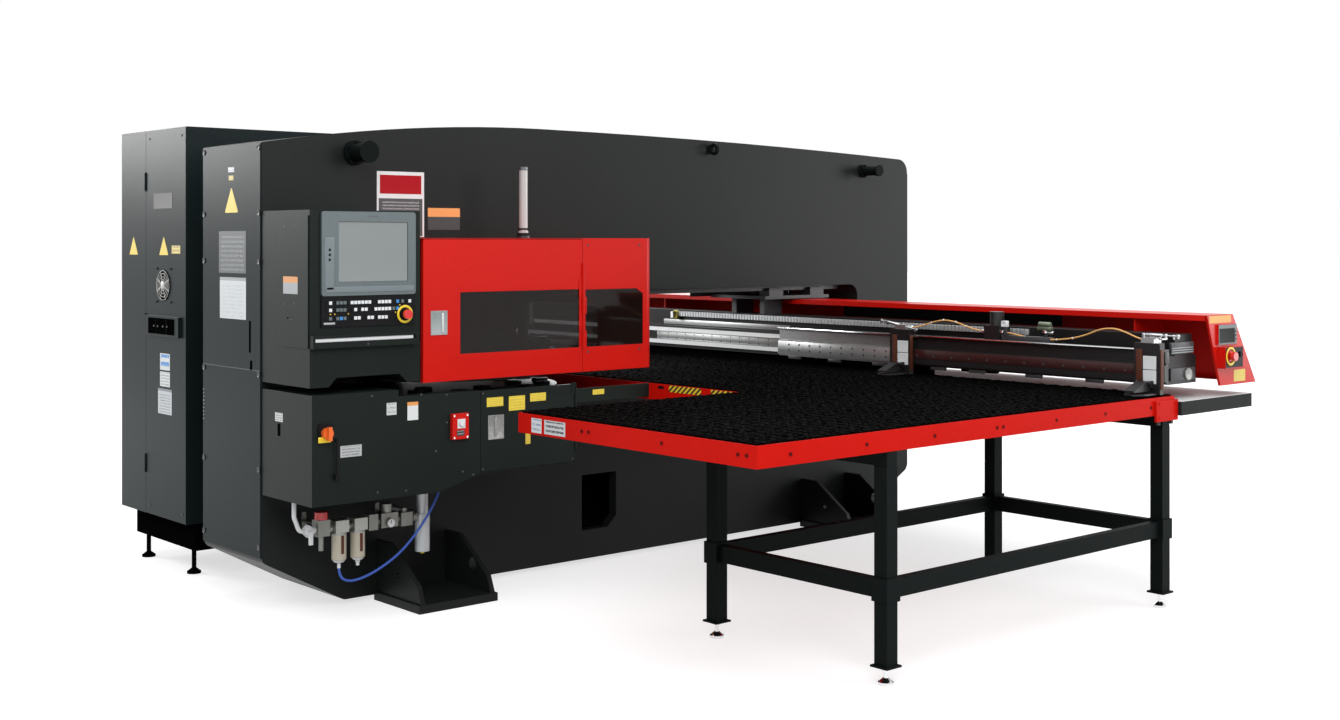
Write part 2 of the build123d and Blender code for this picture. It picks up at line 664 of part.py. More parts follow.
# Carriage base: rails under the upper beam, the saddle on them, the long beam and its rails
rail_top = THROAT_TOP
rail_bottom = rail_top - RAIL
rails = []
for y in BASE_RAIL_YS:
    rails.append(
        block(CENTRE_LEFT + 30, FRAME_LENGTH - 565, y - RAIL / 2, y + RAIL / 2, rail_bottom, rail_top)
    )
save("base_rails", *rails)

saddle_top = SADDLE_BOTTOM + SADDLE
saddle = block(
    SADDLE_LEFT, SADDLE_RIGHT, BASE_RAIL_YS[0] - 50, BASE_RAIL_YS[1] + 50, SADDLE_BOTTOM, saddle_top
)
for y in BASE_RAIL_YS:
    for x in (SADDLE_LEFT + 40, SADDLE_RIGHT - 160):
        slider = block(x, x + 120, y - 42, y + 42, saddle_top, saddle_top + BLOCK_HEIGHT)
        slot = RAIL / 2 + AIR
        slider -= block(x - 1, x + 121, y - slot, y + slot, rail_bottom - AIR, saddle_top + BLOCK_HEIGHT + 1)
        saddle += slider
hanger_right = RIB_LEFT + RIB_WIDTH
for y in (MID_Y - 145, MID_Y + 105):
    saddle += block(RIB_LEFT, hanger_right, y, y + 40, RIB_TOP, SADDLE_BOTTOM)
save("base_saddle", saddle)

beam_right = BEAM_LEFT + BEAM_WIDTH
beam_back = FRAME_DEPTH - BEAM_FRONT
carriage_beam = block(BEAM_LEFT, beam_right, BEAM_FRONT, beam_back, BEAM_BOTTOM, BEAM_TOP)
carriage_beam += block(RIB_LEFT, hanger_right, BEAM_FRONT, beam_back, BEAM_TOP, RIB_TOP)
w = BEAM_WALL
carriage_beam -= block(
    BEAM_LEFT + w, beam_right - w, BEAM_FRONT + w, beam_back - w, BEAM_BOTTOM + w, BEAM_TOP - w
)
save("carriage_beam", carriage_beam)

fixings = []
for z in FACE_RAIL_ZS:
    half = FACE_RAIL / 2
    fixings.append(block(BEAM_LEFT - FACE_RAIL_DEPTH, BEAM_LEFT, BEAM_FRONT, beam_back, z - half, z + half))
tooth_pitch = math.pi * RACK_MODULE
tooth_depth = 2 * RACK_MODULE
rack_back_x = RIB_LEFT
rack_face = rack_back_x - RACK_DEPTH + tooth_depth
line = [(rack_back_x, RACK_FRONT), (rack_face, RACK_FRONT)]
for k in range(int((RACK_BACK - RACK_FRONT) / tooth_pitch)):
    y = RACK_FRONT + k * tooth_pitch
    line.append((rack_face, y + tooth_pitch * 0.15))
    line.append((rack_face - tooth_depth, y + tooth_pitch * 0.35))
    line.append((rack_face - tooth_depth, y + tooth_pitch * 0.65))
    line.append((rack_face, y + tooth_pitch * 0.85))
line.append((rack_face, RACK_BACK))
line.append((rack_back_x, RACK_BACK))
rack = slab_xy(face(*line), RACK_BOTTOM, RACK_BOTTOM + RACK_HEIGHT)
fixings.append(rack)
stop_y = RACK_BACK + 2
fixings.append(block(RIB_LEFT - 45, RIB_LEFT, stop_y, stop_y + 22, RACK_BOTTOM - 12, RACK_BOTTOM + 28))
save("beam_rails", *fixings)

# Carriage cover: a folded sheet on ribs behind the beam, closed by a panel at each end
cover_shoulder = COVER_LEFT + COVER_ROOF
cover_line = [
    (COVER_RIGHT - COVER_LIP - 8, COVER_FOOT),
    (COVER_RIGHT, COVER_FOOT),
    (cover_shoulder, COVER_TOP),
    (COVER_LEFT, COVER_TOP),
    (COVER_LEFT, COVER_TOP - COVER_LIP),
]
cover_back = FRAME_DEPTH - COVER_FRONT
cover = slab_xz(folded(cover_line, SHEET), COVER_FRONT, cover_back)
slope = math.atan2(COVER_TOP - COVER_FOOT, COVER_RIGHT - cover_shoulder)
inner_shoulder = cover_shoulder - SHEET * math.tan(slope / 2)
rib_low = COVER_FOOT + 60
rib_reach = inner_shoulder + (COVER_TOP - SHEET - rib_low) / math.tan(slope)
rib = face(
    (beam_right, rib_low),
    (rib_reach, rib_low),
    (inner_shoulder, COVER_TOP - SHEET),
    (beam_right, COVER_TOP - SHEET),
)
rib -= Pos(beam_right + 120, rib_low + 120) * Circle(70)
for y in (-2300, -1500, -700, MID_Y, FRAME_DEPTH + 700, FRAME_DEPTH + 1500, FRAME_DEPTH + 2300):
    cover += slab_xz(rib, y - 4, y + 4)
save("carriage_cover", cover)

panel = face(
    (COVER_LEFT, COVER_TOP),
    (cover_shoulder, COVER_TOP),
    (COVER_RIGHT, COVER_FOOT),
    (COVER_LEFT + 123, COVER_FOOT),
)
rear_panel = slab_xz(panel, cover_back, cover_back + COVER_END)
front_panel = slab_xz(panel, PANEL_FRONT, COVER_FRONT)
front_panel += block(COVER_LEFT + 88, COVER_LEFT + 262, PANEL_FRONT - 10, PANEL_FRONT, 1243, 1342)
front_panel -= block(COVER_LEFT + 104, COVER_LEFT + 212, PANEL_FRONT - 11, PANEL_FRONT - 6, 1262, 1326)
box_left = COVER_LEFT + 100
box_right = COVER_LEFT + 268
STOP_X = COVER_LEFT + 145
STOP_Z = 1188.0
box_front = PANEL_FRONT - SWITCH_BOX
front_panel += block(box_left, box_right, box_front, PANEL_FRONT, STOP_Z - 60, STOP_Z + 45)
front_panel += rod_y(STOP_X, box_front - 3, box_front, STOP_Z, ESTOP_R + 8)
front_panel -= rod_y(STOP_X, box_front - 4, box_front + 25, STOP_Z, ESTOP_STEM_R + RUNNING)
save("cover_ends", front_panel, rear_panel)


def stop_button(x, seat, z):
    """A mushroom head on a stem, standing clear of its seat by its travel."""
    head_back = seat - ESTOP_TRAVEL - AIR
    head = rod_y(x, head_back - 9, head_back, z, ESTOP_R - 4)
    head += rod_y(x, head_back - ESTOP_HEAD, head_back - 9, z, ESTOP_R)
    return head + rod_y(x, head_back, seat + 18, z, ESTOP_STEM_R)


save("carriage_estop", stop_button(STOP_X, box_front - 3, STOP_Z))

# Bar that carries the clamps, with its grooved sliders on the two face rails
bar_back_y = BAR_FRONT + BAR_LENGTH
bar = block(BAR_FACE, BAR_BACK, BAR_FRONT, bar_back_y, BAR_BOTTOM, BAR_TOP)
bar += block(BAND_FACE, BAR_FACE, BAR_FRONT, bar_back_y, BAND_BOTTOM, BAND_TOP)
bar += block(LIP_FACE, BAR_BACK + 5, BAR_FRONT, bar_back_y, BAR_TOP - LIP, BAR_TOP)
for y in (BAR_FRONT + 160, bar_back_y - 320):
    for z in FACE_RAIL_ZS:
        slider = block(BAR_BACK, BEAM_LEFT - 2, y - 60, y + 60, z - 32, z + 32)
        gap = FACE_RAIL / 2 + AIR
        rail_face = BEAM_LEFT - FACE_RAIL_DEPTH - AIR
        bar += slider - block(rail_face, BEAM_LEFT, y - 61, y + 61, z - gap, z + gap)
save("carriage_bar", bar)


# Clamps: a body hooked over the bar, a fixed lower jaw and a hinged upper jaw
EAR = 10.0
JAW_HALF = 28.0


def clamp_body(y):
    half = CLAMP_WIDTH / 2
    body = block(CLAMP_FACE, CLAMP_BACK, y - half, y + half, CLAMP_BOTTOM, CLAMP_TOP)
    body += block(CLAMP_BACK, BAND_FACE, y - half + 8, y + half - 8, BAND_BOTTOM, BAND_TOP)
    body += block(CLAMP_BACK, BAR_BACK, y - half + 20, y + half - 20, BAR_TOP, CLAMP_TOP)
    jaw = face(
        (CLAMP_FACE + 1, y - 55),
        (CLAMP_FACE + 1, y + 55),
        (CLAMP_FACE - JAW_REACH + 55, y + 55),
        (CLAMP_FACE - JAW_REACH, y + 22),
        (CLAMP_FACE - JAW_REACH, y - 22),
        (CLAMP_FACE - JAW_REACH + 55, y - 55),
    )
    body += slab_xy(jaw, CLAMP_BOTTOM, JAW_TOP)
    for side in (-1, 1):
        near = y + side * (JAW_HALF + AIR)
        far = y + side * (JAW_HALF + AIR + EAR)
        y0, y1 = min(near, far), max(near, far)
        ear = block(PIVOT_X, CLAMP_FACE + 1, y0, y1, PIVOT_Z - 22, PIVOT_Z + 13)
        ear += rod_y(PIVOT_X, y0, y1, PIVOT_Z, 13)
        body += ear - rod_y(PIVOT_X, y0 - 1, y1 + 1, PIVOT_Z, PIVOT_R)
    return body


def clamp_jaw(y):
    tip = CLAMP_FACE - JAW_REACH + 8
    side = face(
        (tip, UPPER_JAW_BOTTOM),
        (PIVOT_X + 12, UPPER_JAW_BOTTOM),
        (PIVOT_X + 12, PIVOT_Z + 4),
        (PIVOT_X + 4, PIVOT_Z + 12),
        (PIVOT_X - 30, PIVOT_Z + 8),
        (tip + 20, UPPER_JAW_BOTTOM + 16),
        (tip, UPPER_JAW_BOTTOM + 9),
    )
    jaw = slab_xz(side, y - JAW_HALF, y + JAW_HALF)
    return jaw + rod_y(PIVOT_X, y - JAW_HALF - EAR - 4, y + JAW_HALF + EAR + 4, PIVOT_Z, PIVOT_R - RUNNING)


save("clamp_bodies", *[clamp_body(y) for y in CLAMP_YS])
save("clamp_jaw_1", clamp_jaw(CLAMP_YS[0]))
save("clamp_jaw_2", clamp_jaw(CLAMP_YS[1]))

# Cross drive on the bar, valve blocks on the clamps and the fittings for their hoses
HOSE_X = BEAM_LEFT - 52.0
HOSE_Z = CLAMP_TOP + 12
HOSE_R = 4.0
DRIVE_Y = -1650.0
drive = block(LIP_FACE + 6, LIP_FACE + 100, DRIVE_Y - 50, DRIVE_Y + 50, BAR_TOP, BAR_TOP + 75)
drive += post(LIP_FACE + 53, DRIVE_Y, BAR_TOP + 75, SADDLE_BOTTOM - 15, 38)
drive += rod_y(HOSE_X, DRIVE_Y + 50, DRIVE_Y + 70, HOSE_Z, 7)
drive += rod_y(HOSE_X, DRIVE_Y - 70, DRIVE_Y - 50, HOSE_Z, 7)
fittings = [drive]
for y, side in ((CLAMP_YS[0], -1), (CLAMP_YS[1], 1)):
    valve = block(CLAMP_FACE + 4, BAR_BACK - 4, y - 35, y + 35, CLAMP_TOP, CLAMP_TOP + 25)
    face_y = y + side * 35
    end_y = y + side * 55
    valve += rod_y(HOSE_X, min(face_y, end_y), max(face_y, end_y), HOSE_Z, 7)
    fittings.append(valve)
save("carriage_fittings", *fittings)


# Hoses: straight runs joined by tangent arcs

def cord(name, points, r):
    radii = []
    for before, at, after in zip(points, points[1:], points[2:]):
        first = Vector(*at) - Vector(*before)
        second = Vector(*after) - Vector(*at)
        turn = math.radians(first.get_angle(second))
        radii.append(0.45 * min(first.length, second.length) / math.tan(turn / 2))
    print(name, "bend radii", [round(v, 1) for v in radii])
    route = FilletPolyline(*points, radius=radii)
    save(name, sweep(Plane(route @ 0, z_dir=route % 0) * Circle(r), path=route))


start = CLAMP_YS[0] - 55
end = DRIVE_Y + 70
reach = start - end
low_hose = [
    (HOSE_X, start, HOSE_Z),
    (HOSE_X, start - 0.12 * reach, HOSE_Z + 8),
    (HOSE_X, start - 0.27 * reach, HOSE_Z + 31),
    (HOSE_X, start - 0.45 * reach, HOSE_Z + 49),
    (HOSE_X, start - 0.63 * reach, HOSE_Z + 41),
    (HOSE_X, start - 0.78 * reach, HOSE_Z + 19),
    (HOSE_X, start - 0.9 * reach, HOSE_Z + 6),
    (HOSE_X, end, HOSE_Z),
]
cord("clamp_hose_1", low_hose, HOSE_R)
start = DRIVE_Y - 70
long_hose = [
    (HOSE_X, start, HOSE_Z),
    (HOSE_X, start - 55, HOSE_Z - 5),
    (HOSE_X, start - 130, HOSE_Z - 19),
    (HOSE_X, start - 225, HOSE_Z - 27),
    (HOSE_X, start - 325, HOSE_Z - 25),
    (HOSE_X, start - 420, HOSE_Z - 13),
    (HOSE_X, start - 505, HOSE_Z + 9),
    (HOSE_X, start - 580, HOSE_Z + 41),
    (HOSE_X, start - 660, HOSE_Z + 48),
    (HOSE_X, start - 730, HOSE_Z + 29),
    (HOSE_X, start - 780, HOSE_Z + 9),
    (HOSE_X, CLAMP_YS[1] + 55, HOSE_Z),
]
cord("clamp_hose_2", long_hose, HOSE_R)

# Operator's console: an open-backed shell with a side cover, the screen bezel and the key panel

NOTCH = [(94, 0), (132, 40), (458, 40), (499, 0)]
body_line = [(0, CONSOLE_BOTTOM), *[(x, CONSOLE_BOTTOM + z) for x, z in NOTCH]]
body_line += [(CONSOLE_WIDTH, CONSOLE_BOTTOM), (CONSOLE_WIDTH, CONSOLE_TOP), (0, CONSOLE_TOP)]
body_face = face(*body_line)
console = slab_xz(body_face, -CONSOLE_DEPTH, 0)
console -= slab_xz(offset(body_face, amount=-SHEET, kind=Kind.INTERSECTION), SHEET - CONSOLE_DEPTH, 1)
console += block(-END_COVER, 0, 7 - CONSOLE_DEPTH, 269 - CONSOLE_DEPTH, 1275, CONSOLE_TOP - 25)
console -= block(-END_COVER - 1, -END_COVER / 2, 150 - CONSOLE_DEPTH, 200 - CONSOLE_DEPTH, 1400, 1409)
shelf_front = -CONSOLE_DEPTH - 30
SHELF_Z0, SHELF_Z1 = 1275.0, 1330.0
ledge = block(0, 540, shelf_front, -CONSOLE_DEPTH, SHELF_Z0, SHELF_Z1)
ledge -= block(12, 528, shelf_front - 1, shelf_front + 8, SHELF_Z0 + 28, SHELF_Z1 - 10)
console += ledge
PANEL_LEFT, PANEL_RIGHT = 53.0, 537.0
KEYS_BOTTOM, KEYS_TOP = 1367.0, 1503.0
KEY_PANEL = 8.0
STOP_KEY_X, STOP_KEY_Z = 478.0, 1415.0
key_front = -CONSOLE_DEPTH - KEY_PANEL
stem_end = key_front - 10 + 18
console -= rod_y(STOP_KEY_X, stem_end - 30, SHEET - CONSOLE_DEPTH + 1, STOP_KEY_Z, ESTOP_STEM_R + 3)
save("console_housing", console)

screen_front = -CONSOLE_DEPTH - 12
screen = block(PANEL_LEFT, PANEL_RIGHT, screen_front, -CONSOLE_DEPTH, KEYS_TOP + 3, CONSOLE_TOP - 6)
rounded = screen.edges().filter_by(Axis.Y)
screen = fillet(rounded, 14)
screen -= block(
    PANEL_LEFT + 83, PANEL_RIGHT - 42, screen_front - 1, screen_front + 5, KEYS_TOP + 64, CONSOLE_TOP - 52
)
save("console_screen", screen)

keys = block(PANEL_LEFT, PANEL_RIGHT, key_front, -CONSOLE_DEPTH, KEYS_BOTTOM, KEYS_TOP)
row_z = (KEYS_TOP - 28, KEYS_TOP - 60, KEYS_TOP - 98)
for z in row_z:
    keys += block(PANEL_LEFT + 20, PANEL_LEFT + 48, key_front - 3, key_front, z - 9, z + 9)
    for k in range(5):
        x = PANEL_LEFT + 125 + k * 24
        keys += block(x, x + 18, key_front - 3, key_front, z - 8, z + 8)
    for k in range(3):
        x = PANEL_LEFT + 258 + k * 22
        keys += block(x, x + 16, key_front - 3, key_front, z - 8, z + 8)
keys += block(PANEL_RIGHT - 52, PANEL_RIGHT - 24, key_front - 3, key_front, KEYS_TOP - 38, KEYS_TOP - 18)
keys += rod_y(STOP_KEY_X, key_front - 10, key_front, STOP_KEY_Z, ESTOP_R + 7)
keys -= rod_y(STOP_KEY_X, key_front - 11, 1 - CONSOLE_DEPTH, STOP_KEY_Z, ESTOP_STEM_R + RUNNING)
save("console_keys", keys)
save("console_estop", stop_button(STOP_KEY_X, key_front - 10, STOP_KEY_Z))


# Lower box: a folded front with a stepped top, a sloping floor and a door on its right

BOX_FRONT = -BOX_DEPTH
DOOR_BOTTOM = BOX_END_BOTTOM + 6
HINGE_Y = BOX_FRONT - BARREL_R - AIR
DOOR_HINGE_X = DOOR_RIGHT + 4.5
front_line = [
    (0, BOX_BOTTOM),
    (BOX_SLOPE_X, BOX_BOTTOM),
    (BOX_END, BOX_END_BOTTOM),
    (BOX_END, BOX_STEP_TOP),
    (BOX_STEP_X, BOX_STEP_TOP),
    (BOX_STEP_X, BOX_TOP),
    (0, BOX_TOP),
]
box_front_face = face(*front_line)
box = slab_xz(box_front_face, BOX_FRONT, BOX_FRONT + SHEET)
box += slab_xz(box_front_face - offset(box_front_face, amount=-SHEET, kind=Kind.INTERSECTION), BOX_FRONT, 0)
box -= block(BOX_STEP_X, BOX_END + 1, BOX_FRONT + 80, 1, APRON_BOTTOM - 20, BOX_TOP + 1)
box += block(BOX_END, DOOR_RIGHT + 2, BOX_FRONT, 0, BOX_END_BOTTOM, BOX_END_BOTTOM + SHEET)
box += block(DOOR_RIGHT + 2, DOOR_RIGHT + 6, BOX_FRONT, 0, BOX_END_BOTTOM, APRON_BOTTOM - 20)
box += block(DOOR_RIGHT + 2, DOOR_RIGHT + 6, BOX_FRONT, BOX_FRONT + 40, BOX_END_BOTTOM, BOX_STEP_TOP - 2)
box += block(DOOR_RIGHT + 2, CENTRE_LEFT, BOX_FRONT, BOX_FRONT + SHEET, FASCIA_BOTTOM, TABLE_TOP)
for z in (DOOR_BOTTOM + 54, DOOR_BOTTOM + 274):
    box += post(DOOR_HINGE_X, HINGE_Y, z, z + 60, BARREL_R)
    box += block(DOOR_HINGE_X - 1.5, DOOR_HINGE_X + 2.5, HINGE_Y, BOX_FRONT, z, z + 60)
BUTTON_X, BUTTON_Z = 770.0, 890.0
SWITCH_X, SWITCH_Z = 65.0, 900.0
box -= rod_y(BUTTON_X, BOX_FRONT - 1, BOX_FRONT + SHEET + 1, BUTTON_Z, 9)
save("lower_box", box)

door = block(BOX_END + 2.5, DOOR_RIGHT, BOX_FRONT, BOX_FRONT + SHEET, DOOR_BOTTOM, BOX_STEP_TOP - 2)
handle_left = BOX_END + 47
door -= block(handle_left, handle_left + 88, BOX_FRONT - 1, BOX_FRONT + SHEET + 1, 799, 912)
pocket = block(handle_left, handle_left + 88, BOX_FRONT + 2, BOX_FRONT + SHEET, 799, 912)
pocket += block(handle_left + 8, handle_left + 80, BOX_FRONT + 2, BOX_FRONT + SHEET + 20, 807, 904)
pocket -= block(handle_left + 12, handle_left + 76, BOX_FRONT - 1, BOX_FRONT + SHEET + 16, 811, 900)
catch = block(handle_left + 38, handle_left + 50, BOX_FRONT + 1, BOX_FRONT + 17, 811, 900)
door += block(
    BOX_END + 2.5, DOOR_RIGHT - 14, BOX_FRONT + SHEET, BOX_FRONT + 22, BOX_STEP_TOP - 6, BOX_STEP_TOP - 2
)
door += block(BOX_END + 2.5, DOOR_RIGHT - 14, BOX_FRONT + SHEET, BOX_FRONT + 22, DOOR_BOTTOM, DOOR_BOTTOM + 4)
for z in (DOOR_BOTTOM + 54, DOOR_BOTTOM + 274):
    knuckle = z + 60 + AIR
    door += post(DOOR_HINGE_X, HINGE_Y, knuckle, knuckle + 60, BARREL_R)
    door += block(DOOR_RIGHT - 22, DOOR_RIGHT, BOX_FRONT - 3, BOX_FRONT, knuckle, knuckle + 60)
    door += block(DOOR_RIGHT - 1, DOOR_HINGE_X, BOX_FRONT - 3, BOX_FRONT - AIR, knuckle, knuckle + 60)
save("lower_door", door, pocket, catch)

# Main switch and its interlock rod, and the red push-button box
switch = Pos(SWITCH_X, BOX_FRONT, SWITCH_Z) * Rot(90, 0, 0) * extrude(RectangleRounded(72, 86, 12), 8)
switch += rod_y(SWITCH_X + 52, BOX_FRONT - 15, BOX_FRONT, 866, 6)
switch += post(SWITCH_X + 52, BOX_FRONT - 15, 700, 870, 5)
switch += block(SWITCH_X + 40, SWITCH_X + 64, BOX_FRONT - 20, BOX_FRONT, 690, 712)
switch -= rod_y(SWITCH_X, BOX_FRONT - 9, BOX_FRONT - 0.5, SWITCH_Z, 7 + RUNNING)
save("main_switch_base", switch)
knob = rod_y(SWITCH_X, BOX_FRONT - 32, BOX_FRONT - 8 - AIR, SWITCH_Z, 25)
knob += block(SWITCH_X - 9, SWITCH_X + 9, BOX_FRONT - 50, BOX_FRONT - 30, SWITCH_Z - 30, SWITCH_Z + 30)
knob += rod_y(SWITCH_X, BOX_FRONT - 10, BOX_FRONT - 1, SWITCH_Z, 7)
save("main_switch_knob", knob)
button_box = block(721, 812, BOX_FRONT - 20, BOX_FRONT, 817, 938)
button_box -= rod_y(BUTTON_X, BOX_FRONT - 21, BOX_FRONT + 1, BUTTON_Z, 5 + RUNNING)
save("push_button_box", button_box)
button = rod_y(
    BUTTON_X, BOX_FRONT - 20 - AIR - START_TRAVEL - 6, BOX_FRONT - 20 - AIR - START_TRAVEL, BUTTON_Z, 12
)
button += rod_y(BUTTON_X, BOX_FRONT - 24, BOX_FRONT - 6, BUTTON_Z, 5)
save("start_button", button)


# Turret guard: a hinged door with a window, a fixed side with its own pane, the roof and the lamp

GUARD_FRONT = -CONSOLE_DEPTH
GUARD_HINGE_X = GUARD_SEAM + 1.0
HINGE_Z0, HINGE_Z1 = 1212.0, 1640.0
GUARD_BARREL_R = 6.0
GUARD_HINGE_Y = GUARD_FRONT - GUARD_BARREL_R - AIR
KNUCKLES = 5
pitch = (HINGE_Z1 - HINGE_Z0) / KNUCKLES
inner_y = GUARD_FRONT + GUARD_SHEET
plan = FilletPolyline(
    (GUARD_SEAM + 1.5, GUARD_FRONT), (GUARD_RIGHT, GUARD_FRONT), (GUARD_RIGHT, 0), radius=GUARD_BEND_R
)
wall = offset(plan, amount=GUARD_SHEET, side=Side.LEFT, closed=True)
guard = slab_xy(make_face(wall.edges()), GUARD_BOTTOM, GUARD_TOP)
pane_left = GUARD_SEAM + WINDOW_MARGIN
pane_right = GUARD_RIGHT - GUARD_BEND_R - 27
side_window = face(
    (pane_left, WINDOW_BOTTOM),
    (pane_right, WINDOW_BOTTOM),
    (pane_right, WINDOW_TOP - 30),
    (pane_right - 45, WINDOW_TOP - 3),
    (pane_left, WINDOW_TOP - 3),
)
guard -= slab_xz(side_window, GUARD_FRONT - 1, inner_y + 1)
roof = face((CONSOLE_WIDTH, 0), (CONSOLE_WIDTH, GUARD_FRONT), (GUARD_RIGHT, GUARD_FRONT), (GUARD_RIGHT, 0))
roof = fillet(roof.vertices().filter_by(lambda v: v.X > GUARD_SEAM and v.Y < -1), GUARD_BEND_R)
guard += slab_xy(roof, GUARD_TOP - GUARD_SHEET, GUARD_TOP)
for k in range(0, KNUCKLES, 2):
    z = HINGE_Z0 + k * pitch
    guard += post(GUARD_HINGE_X, GUARD_HINGE_Y, z, z + pitch - AIR, GUARD_BARREL_R)
    guard += block(GUARD_HINGE_X, GUARD_HINGE_X + 24, GUARD_FRONT - 3, GUARD_FRONT, z, z + pitch - AIR)
save("guard_fixed", guard)
lap = PANE_LAP - 1
side_pane = block(
    pane_left - lap, pane_right + lap, inner_y, inner_y + PANE, WINDOW_BOTTOM - lap, WINDOW_TOP + lap
)
save("guard_fixed_window", side_pane)

door_right = GUARD_SEAM - 1
door_top = GUARD_TOP - 2 * GUARD_SHEET
guard_door = block(GUARD_LEFT, door_right, GUARD_FRONT, inner_y, GUARD_BOTTOM, door_top)
window_right = GUARD_SEAM - WINDOW_MARGIN
guard_door -= block(WINDOW_LEFT, window_right, GUARD_FRONT - 1, inner_y + 1, WINDOW_BOTTOM, WINDOW_TOP)
flange_end = door_right - 20
guard_door += block(GUARD_LEFT, flange_end, inner_y, inner_y + 22, door_top - GUARD_SHEET, door_top)
guard_door += block(GUARD_LEFT, flange_end, inner_y, inner_y + 22, GUARD_BOTTOM, GUARD_BOTTOM + GUARD_SHEET)
guard_door += block(GUARD_LEFT, GUARD_LEFT + GUARD_SHEET, inner_y, inner_y + 22, GUARD_BOTTOM, door_top)
grip_left, grip_right = GUARD_LEFT + 42, GUARD_LEFT + 130
guard_door += block(grip_left, grip_right, inner_y, inner_y + 20, 1312, 1422)
guard_door -= block(grip_left + 7, grip_right - 7, GUARD_FRONT - 1, inner_y + 16, 1319, 1415)
guard_door += block(grip_left + 56, grip_left + 70, GUARD_FRONT + 2, inner_y + 17, 1318, 1416)
for k in range(1, KNUCKLES, 2):
    z = HINGE_Z0 + k * pitch
    guard_door += post(GUARD_HINGE_X, GUARD_HINGE_Y, z, z + pitch - AIR, GUARD_BARREL_R)
    guard_door += block(door_right - 22, door_right, GUARD_FRONT - 3, GUARD_FRONT, z, z + pitch - AIR)
    guard_door += block(door_right - 1, GUARD_HINGE_X, GUARD_FRONT - 3, GUARD_FRONT - AIR, z, z + pitch - AIR)
save("guard_door", guard_door)
door_pane = block(
    WINDOW_LEFT - PANE_LAP, window_right + lap - 1, inner_y, inner_y + PANE,
    WINDOW_BOTTOM - lap, WINDOW_TOP + lap
)
save("guard_door_window", door_pane)

LAMP_X, LAMP_Y = 1310.0, -250.0
lamp = post(LAMP_X, LAMP_Y, GUARD_TOP, GUARD_TOP + 12, 34)
lamp += post(LAMP_X, LAMP_Y, GUARD_TOP + 12, GUARD_TOP + 36, 26)
lamp += post(LAMP_X, LAMP_Y, GUARD_TOP + 36, GUARD_TOP + 345, 22)
lamp += post(LAMP_X, LAMP_Y, GUARD_TOP + 345, GUARD_TOP + 360, 24)
save("signal_lamp", lamp)

# Fixed guard round the turrets at the rear: an upper hood and a lower skirt
hood_back = FRAME_DEPTH + 400
hood = block(THROAT_LEFT, GUARD_RIGHT - 112, FRAME_DEPTH, hood_back, GUARD_BOTTOM, GUARD_TOP)
wall = GUARD_SHEET
hood -= block(
    THROAT_LEFT + wall, GUARD_RIGHT - 112 - wall, FRAME_DEPTH - 1, hood_back - wall,
    GUARD_BOTTOM - 1, GUARD_TOP - wall
)
skirt_right = TURRET_X + TURRET_R + 25
skirt_top = TABLE_TOP - 10
skirt = block(THROAT_LEFT, skirt_right, FRAME_DEPTH, hood_back, BOX_END_BOTTOM, skirt_top)
skirt -= block(
    THROAT_LEFT + wall, skirt_right - wall, FRAME_DEPTH - 1, hood_back - wall,
    BOX_END_BOTTOM + wall, skirt_top + 1
)
save("rear_guard", hood, skirt)


# Electrical cabinet: a shell open to the left, a hinged door beside a fixed panel, and a fan in the door

door_back = CABINET_LEFT + SHEET
shell_left = door_back + AIR
cabinet = block(shell_left, CABINET_RIGHT, CABINET_FRONT, CABINET_BACK, CABINET_BOTTOM, CABINET_TOP)
cabinet -= block(
    shell_left - 1,
    CABINET_RIGHT - SHEET,
    CABINET_FRONT + SHEET,
    CABINET_BACK - SHEET,
    CABINET_BOTTOM + SHEET,
    CABINET_TOP - SHEET,
)
cabinet += block(CABINET_LEFT, shell_left + 3, CABINET_SPLIT + 1, CABINET_BACK, CABINET_BOTTOM, CABINET_TOP)
duct_x = (CABINET_LEFT + CABINET_RIGHT) / 2
duct_z = (GUARD_TOP + CABINET_TOP) / 2
cabinet += block(duct_x - 90, duct_x + 90, FRAME_DEPTH, CABINET_FRONT, duct_z - 60, duct_z + 60)
CABINET_HINGE_X = CABINET_LEFT - BARREL_R - AIR
cabinet_knuckles = [CABINET_BOTTOM + 220 + k * 760 for k in range(3)]
for z in cabinet_knuckles:
    cabinet += post(CABINET_HINGE_X, CABINET_SPLIT, z, z + 50, BARREL_R)
    cabinet += block(CABINET_HINGE_X, CABINET_LEFT, CABINET_SPLIT + 1, CABINET_SPLIT + 4, z, z + 50)
save("cabinet_shell", cabinet)

cabinet_door = block(
    CABINET_LEFT, door_back, CABINET_FRONT + 1, CABINET_SPLIT - 1.5, CABINET_BOTTOM + 2, CABINET_TOP - 2
)
cabinet_door += block(
    door_back, door_back + 20, CABINET_FRONT + 6, CABINET_FRONT + 10, CABINET_BOTTOM + 20, CABINET_TOP - 20
)
latch_left = CABINET_LEFT - 16
cabinet_door += block(latch_left, CABINET_LEFT, CABINET_SPLIT - 446, CABINET_SPLIT - 21, 1244, 1353)
cabinet_door -= rod_x(CABINET_LEFT - 1, door_back + 1, FAN_Y, FAN_Z, FAN_R)
duct = rod_x(door_back, door_back + 36, FAN_Y, FAN_Z, FAN_R + 4)
duct -= rod_x(door_back - 1, door_back + 37, FAN_Y, FAN_Z, FAN_R)
cabinet_door += duct
spider = rod_x(door_back + 30, door_back + 36, FAN_Y, FAN_Z, 22)
for turn in (0, 60, 120):
    spider += Pos(door_back + 33, FAN_Y, FAN_Z) * Rot(turn, 0, 0) * Box(6, 2 * FAN_R + 2, 10)
cabinet_door += spider - rod_x(door_back + 29, door_back + 37, FAN_Y, FAN_Z, 5 + RUNNING)
